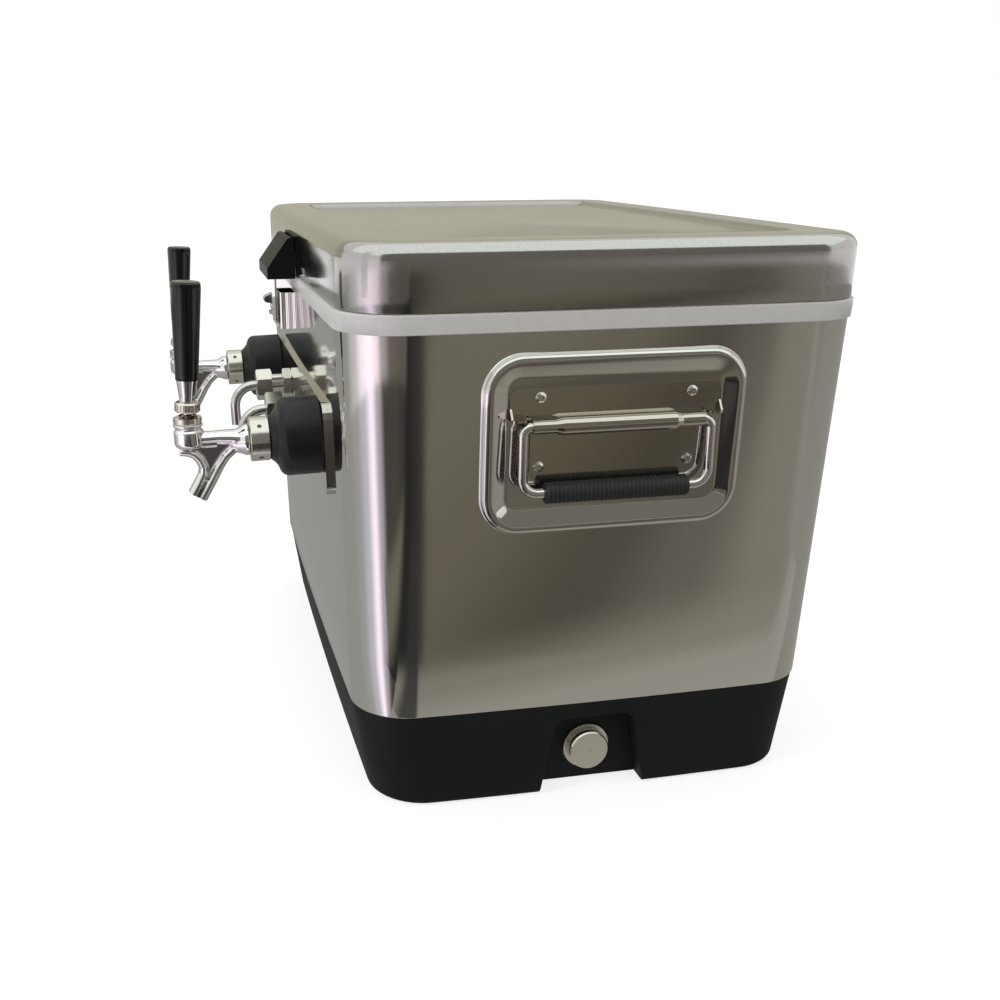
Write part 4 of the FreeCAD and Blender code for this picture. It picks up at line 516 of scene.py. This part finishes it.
levels += [belt_outline(RIM_TOP - RIM_INNER_ROUND * (1 - math.cos(a)),
                        LINER_WALL - RIM_INNER_ROUND * (1 - math.sin(a)), 0.033) for a in ROUNDING[1:]]
levels += [belt_outline(z, LINER_WALL, 0.032) for z in (0.3, 0.2, 0.1)]
levels += [belt_outline(LINER_FLOOR + LINER_FLOOR_ROUND * (1 - math.sin(a)),
                        LINER_WALL + LINER_FLOOR_ROUND * (1 - math.cos(a)), 0.030) for a in ROUNDING]
liner = loft("liner_shell", levels, crown=0.0012, caps=(len(levels),))
complete(liner, "cooler", white_shell)
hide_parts("inner_liner")
wear(cream_foam, "foam_core", "lid_foam")

# ------------------------------------------------------------------------------------------------ lid
# A shallow pressed lid of the same steel as the belt, satin finished, with a rolled edge and a sunk panel in the
# top. A white moulding closes its underside and foam fills it.

LID_FOOT, LID_TOP, LID_ROLL = 0.4013, 0.450, 0.012
LID_LOW, LID_HIGH, LID_CORNER = (0.6102, 0.409), (0.615, 0.409), 0.048


def lid_outline(z, inset):
    share = (z - LID_FOOT) / (LID_TOP - LID_FOOT)
    length, depth = (low + (high - low) * share for low, high in zip(LID_LOW, LID_HIGH))
    return (length - 2 * inset, depth - 2 * inset, LID_CORNER - inset, z)


LID_SKIRT = ((0.0002, 0.0030), (0, 0.0012), (0.0003, 0.0003), (0.0012, 0), (0.012, 0), (0.024, 0))  # up, inset
LID_TURNS = [math.radians(a) for a in (0, 11, 22, 33, 44, 55, 66, 78, 90)]
PANEL = (0.523, 0.327, 0.022)
PANEL_PROFILE = (  # inset from the panel's outside, height over the lid's top, both in millimetres
    (-1.8, -0.02), (-0.8, -0.08), (0.2, -0.4), (1.6, -1.3), (4.6, -3.2), (6.2, -3.85), (7.6, -4.0))
levels = [lid_outline(LID_FOOT + up, inset) for up, inset in LID_SKIRT]
levels += [lid_outline(LID_TOP - LID_ROLL * (1 - math.sin(a)), LID_ROLL * (1 - math.cos(a))) for a in LID_TURNS]
levels += [(PANEL[0] - 2 * inset * MM, PANEL[1] - 2 * inset * MM, PANEL[2] - inset * MM, LID_TOP + up * MM)
           for inset, up in PANEL_PROFILE]
lid = loft("lid_pressing", levels, crown=0.002, caps=(len(levels),))
satin = finish("satin_steel", (0.44, 0.425, 0.41), 0.04, (0.12, 0.18), metallic=1.0, grain=380.0,
               stretch=(0.008, 1, 1), bump=0.1, depth=0.00005)
complete(lid, "lid", satin)
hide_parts("lid_skin")
wear(white_shell, "lid_liner")

# ------------------------------------------------------------------------------------------------ hinges and screws
# Two stainless leaf hinges at the back, each leaf folded round a turned pin. Self-tapping pan-head screws hold the
# leaves and the other small fittings to the steel.

polished = finish("polished_stainless", (0.56, 0.54, 0.50), 0.03, (0.07, 0.16), metallic=1.0, grain=240.0,
                  stretch=(1, 1, 0.05))
bright_steel = finish("bright_steel", (0.66, 0.64, 0.60), 0.04, (0.12, 0.24), metallic=1.0, grain=300.0)
wear(polished, "hinge_body_leaves", "hinge_lid_leaves")
wear(bright_steel, "hinge_pins", "body_screws", "lid_screws")

# ------------------------------------------------------------------------------------------------ latch
# A black moulded lever turns on a pin in a bracket that is screwed to the lid's front, and pulls a chromed tongue
# down over a fluted chrome strike on the belt. A cast bottle opener is screwed on beside it.

black_plastic = finish("black_plastic", (0.009, 0.009, 0.010), 0.15, (0.36, 0.48), grain=500.0, bump=0.04, shine=0.08)
chrome = finish("chrome", (0.78, 0.77, 0.76), 0.015, (0.05, 0.1), metallic=1.0, grain=220.0)
wear(black_plastic, "latch_bracket", "latch_lever", "latch_pin")
wear(chrome, "latch_tongue", "bottle_opener")
FLUTE_PITCH, FLUTE_DEPTH = 0.0062, 0.0022
WAVE_PITCH = 2 * math.pi / 20  # of a wave texture at scale 1
fluted = finish("fluted_chrome", (0.78, 0.77, 0.75), 0.015, (0.06, 0.12), metallic=1.0, grain=220.0)
tree = fluted.node_tree
place = tree.nodes.new("ShaderNodeTexCoord")
flutes = tree.nodes.new("ShaderNodeTexWave")
flutes.inputs["Scale"].default_value = math.sqrt(2) * WAVE_PITCH / FLUTE_PITCH
askew = tree.nodes.new("ShaderNodeMapping")
askew.inputs["Rotation"].default_value = (0, 0, math.radians(45))
tree.links.new(place.outputs["Object"], askew.inputs["Vector"])
tree.links.new(askew.outputs["Vector"], flutes.inputs["Vector"])
relief = tree.nodes.new("ShaderNodeBump")
relief.inputs["Distance"].default_value = FLUTE_DEPTH
tree.links.new(flutes.outputs["Fac"], relief.inputs["Height"])
tree.links.new(relief.outputs["Normal"], tree.nodes["Principled BSDF"].inputs["Normal"])
wear(fluted, "strike_plate")

# ------------------------------------------------------------------------------------------------ tap wall
# A bright steel plate behind both taps spreads the load over the thin belt. Black moulded collars space the taps
# out from it, and threaded shanks with nuts inside the ice space clamp it all through the wall.

matte_collar = finish("matte_collar", (0.0055, 0.0065, 0.007), 0.12, (0.36, 0.48), grain=600.0, bump=0.05,
                      shine=0.35)
nickel = finish("satin_nickel", (0.62, 0.595, 0.53), 0.015, (0.18, 0.24), metallic=1.0, grain=350.0)
wear(polished, "face_plate")
for hand in ("left", "right"):
    wear(chrome, f"faucet_shank_{hand}", f"ferrule_{hand}")
    wear(bright_steel, f"faucet_shaft_{hand}", f"lever_stem_{hand}")
wear(nickel, "coupling_nuts", "wall_back_nuts", "faucet_bonnets")

TAP_X, TAP_WALL, TAP_Z, TAP_TILT = 0.165, 0.20233, 0.2865, math.radians(1.535)
PLATE_SHEET = 3.0


def bar(points, flat, corners=28):
    """Adds a closed bar to the piece through (out, up, radius) in millimetres, flat times as wide as thick.
    With four corners it is a slab, flat is half its width, and the radius is half its height."""
    slab = corners == 4
    mesh, layer = marked()
    first = max((point[layer] for point in mesh.verts), default=0) + 1
    for number, (far, up, radius) in enumerate(points, first):
        before = points[max(0, number - first - 1)]
        after = points[min(len(points) - 1, number - first + 1)]
        middle = (0, -(PLATE_SHEET + far) * MM, up * MM)
        lean = math.atan2(after[0] - before[0], after[1] - before[1])
        turn = Matrix.Rotation(lean, 3, "X") @ Matrix.Rotation(math.pi / corners, 3, "Z")
        bpy.ops.mesh.primitive_circle_add(vertices=corners, radius=radius * MM / math.cos(math.pi / corners),
                                          location=middle, rotation=turn.to_euler())
        bpy.ops.transform.resize(value=(flat / radius if slab else flat, 1, 1), center_override=middle)
        mesh, layer = marked()
        for point in mesh.verts:
            if point[layer] == 0:
                point[layer] = number
        if number > first:
            choose(lambda co, k: k in (number - 1, number))
            bpy.ops.mesh.bridge_edge_loops()
    for number in (first, first + len(points) - 1):
        choose(lambda co, k: k == number)
        bpy.ops.mesh.edge_face_add()


def drill(piece, place, turn, radius, depth):
    """Cuts a round hole of this radius in millimetres, as deep to each side of its place, and turned about X."""
    bpy.ops.object.mode_set(mode="OBJECT")
    bpy.ops.object.select_all(action="DESELECT")
    bpy.ops.mesh.primitive_cylinder_add(vertices=40, radius=radius * MM, depth=2 * depth * MM,
                                        location=place, rotation=(turn, 0, 0))
    cutter = bpy.context.object
    work(piece, "BOOLEAN", operation="DIFFERENCE", object=cutter)
    bpy.data.objects.remove(cutter)


TAIL_FLARE = ((50, 0, 10.2), (57.2, 0, 10.2), (57.9, 0, 12.8), (60.8, 0, 12.9), (63.6, 0, 11.6), (67.5, 0, 9.9),
              (71.5, 0.8, 8.4))
TOP_RAIL = ((64, 2.4, 6.6), (72, 3.6, 5.8), (84, 4.3, 5.0), (104, 4.3, 5.0))
TOWER = ((105.5, -3.0, 7.0), (105.5, -2.2, 10.4), (105.5, 0.2, 11.9), (105.5, 11.0, 11.9), (105.5, 11.9, 10.4),
         (105.5, 14.0, 10.4), (105.5, 14.9, 11.9), (105.5, 17.0, 11.9))
FRONT_RIDGE = ((113.8, -5.6, 3.7), (107.5, -6.2, 4.1), (102.5, -8.4, 4.1), (98.4, -13.0, 4.1), (95.9, -19.2, 4.1),
               (96.4, -25.4, 4.3), (100.4, -33.0, 4.6), (107.4, -44.4, 4.7))
REAR_RIDGE = ((64.0, -3.6, 5.0), (71.0, -6.6, 4.3), (77.5, -12.0, 4.2), (83.4, -20.2, 4.3), (89.6, -30.4, 4.6),
              (100.2, -47.6, 4.7))
WEB = ((91.5, 3.0, 22.0), (91.0, -5.0, 19.0), (90.0, -12.0, 10.5), (92.0, -21.0, 5.5), (97.0, -31.0, 5.0))
RAIL_FLAT, RIDGE_FLAT, WEB_HALF = 1.6, 1.75, 3.6
SPOUT_CORE = ((95.0, -30.0, 6.6), (99.5, -37.3, 7.3), (105.0, -46.3, 7.6))
COLLAR = ((0.1, 0, 31.2), (0.8, 0, 32.0), (2.0, 0, 32.2), (27.6, 0, 32.2), (29.6, 0, 31.8), (31.6, 0, 30.7),
          (33.3, 0, 28.8), (34.4, 0, 26.4), (35.3, 0, 23.9), (36.6, 0, 21.7), (38.2, 0, 19.9), (39.8, 0, 18.6),
          (40.8, 0, 17.8), (41.2, 0, 17.0))
COLLAR_BORE, COLLAR_MIDDLE = 14.5, 20.6
SPOUT_TIP, SPOUT_LEAN, SPOUT_BORE = (103.0, -43.0), math.radians(31.6), 6.3
MOUTH_DEPTH = 17.0
CAST_GRAIN, CAST_PASSES = 0.0006, 6
for hand, side in (("left", -1), ("right", 1)):
    placed = Matrix.Translation((side * TAP_X, -TAP_WALL, TAP_Z)) @ Matrix.Rotation(TAP_TILT, 4, "X")
    collar = start(f"tap_collar_{hand}")
    bar(COLLAR, 1.0, corners=64)
    drill(collar, (0, -(PLATE_SHEET + COLLAR_MIDDLE) * MM, 0), math.pi / 2, COLLAR_BORE, 2 * COLLAR_MIDDLE)
    settle(collar, placed)
    bpy.ops.object.mode_set(mode="EDIT")
    complete(collar, "cooler", matte_collar, angle=50.0)
    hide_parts(f"shank_collar_{hand}")

    casting = start(f"tap_casting_{hand}")
    bar(TAIL_FLARE, 1.0)
    bar(TOP_RAIL, RAIL_FLAT)
    bar(TOWER, 1.0)
    bar(FRONT_RIDGE, RIDGE_FLAT)
    bar(REAR_RIDGE, RIDGE_FLAT)
    bar(WEB, WEB_HALF, corners=4)
    bar(SPOUT_CORE, 1.0)
    bpy.ops.mesh.select_all(action="SELECT")
    bpy.ops.mesh.normals_make_consistent(inside=False)
    bpy.ops.object.mode_set(mode="OBJECT")
    work(casting, "REMESH", mode="VOXEL", voxel_size=CAST_GRAIN)
    work(casting, "SMOOTH", factor=0.5, iterations=CAST_PASSES)
    bpy.ops.object.mode_set(mode="EDIT")
    down = Vector((0, -math.sin(SPOUT_LEAN), -math.cos(SPOUT_LEAN)))
    tip = Vector((0, -(PLATE_SHEET + SPOUT_TIP[0]) * MM, SPOUT_TIP[1] * MM))
    bpy.ops.mesh.select_all(action="SELECT")
    bpy.ops.mesh.bisect(plane_co=tip, plane_no=down, use_fill=True, clear_outer=True)
    drill(casting, tip, -SPOUT_LEAN, SPOUT_BORE, MOUTH_DEPTH)
    settle(casting, placed)
    bpy.ops.object.mode_set(mode="EDIT")
    complete(casting, "cooler", chrome, angle=50.0)
    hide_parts(f"faucet_body_{hand}")

# ------------------------------------------------------------------------------------------------ tap handles
# Each lever ends in a turned black handle over a chromed ferrule, locked by a knurled collar; the seat washer
# under the bonnet is rubber.

gloss_black = finish("gloss_black", (0.005, 0.005, 0.005), 0.15, (0.07, 0.12), grain=60.0, shine=0.4)
rubber = finish("black_rubber", (0.011, 0.0125, 0.0125), 0.2, (0.5, 0.7), grain=800.0, bump=0.2)
for hand in ("left", "right"):
    wear(gloss_black, f"tap_knob_{hand}")
    wear(nickel, f"jam_collar_{hand}")
    wear(rubber, f"seat_washer_{hand}")

# ------------------------------------------------------------------------------------------------ inlets and coils
# Beer comes in through two nickel bulkheads with bent steel tails between the taps, and runs through a coil of
# stainless tube that stands in the ice on a moulded ring.

coil_steel = finish("coil_steel", (0.55, 0.54, 0.52), 0.05, (0.12, 0.25), metallic=1.0, grain=200.0)
grey_stand = finish("stand_plastic", (0.55, 0.55, 0.54), 0.03, (0.4, 0.55), grain=300.0, bump=0.08)
wear(nickel, "inlet_bulkheads", "inlet_lock_nuts", "inlet_hex_nuts", "coil_union_nuts")
wear(grey_stand, "coil_stands")
for hand in ("left", "right"):
    wear(coil_steel, f"cooling_coil_{hand}", f"inlet_elbow_{hand}")

# ------------------------------------------------------------------------------------------------ end handles
# A polished steel plate is riveted inside each pressed frame and rolled over a bent wire bail with a ribbed grip.
# Four blind rivets hold each plate, and the bail hangs down flat when it isn't in use.

warm_steel = finish("warm_steel", (0.50, 0.465, 0.41), 0.03, (0.06, 0.14), metallic=1.0, grain=240.0)
for hand in ("left", "right"):
    wear(warm_steel, f"handle_plate_{hand}")
    wear(bright_steel, f"handle_bail_{hand}")
    wear(rubber, f"handle_grip_{hand}")
wear(bright_steel, "handle_rivets")

# ------------------------------------------------------------------------------------------------ drain
# A plated brass spout goes through the end wall inside the base's recess. A knurled cap on a rubber seal shuts it,
# and it is left closed until the melted ice is let out.

wear(nickel, "drain_body", "drain_cap")
wear(rubber, "drain_cap_seal")
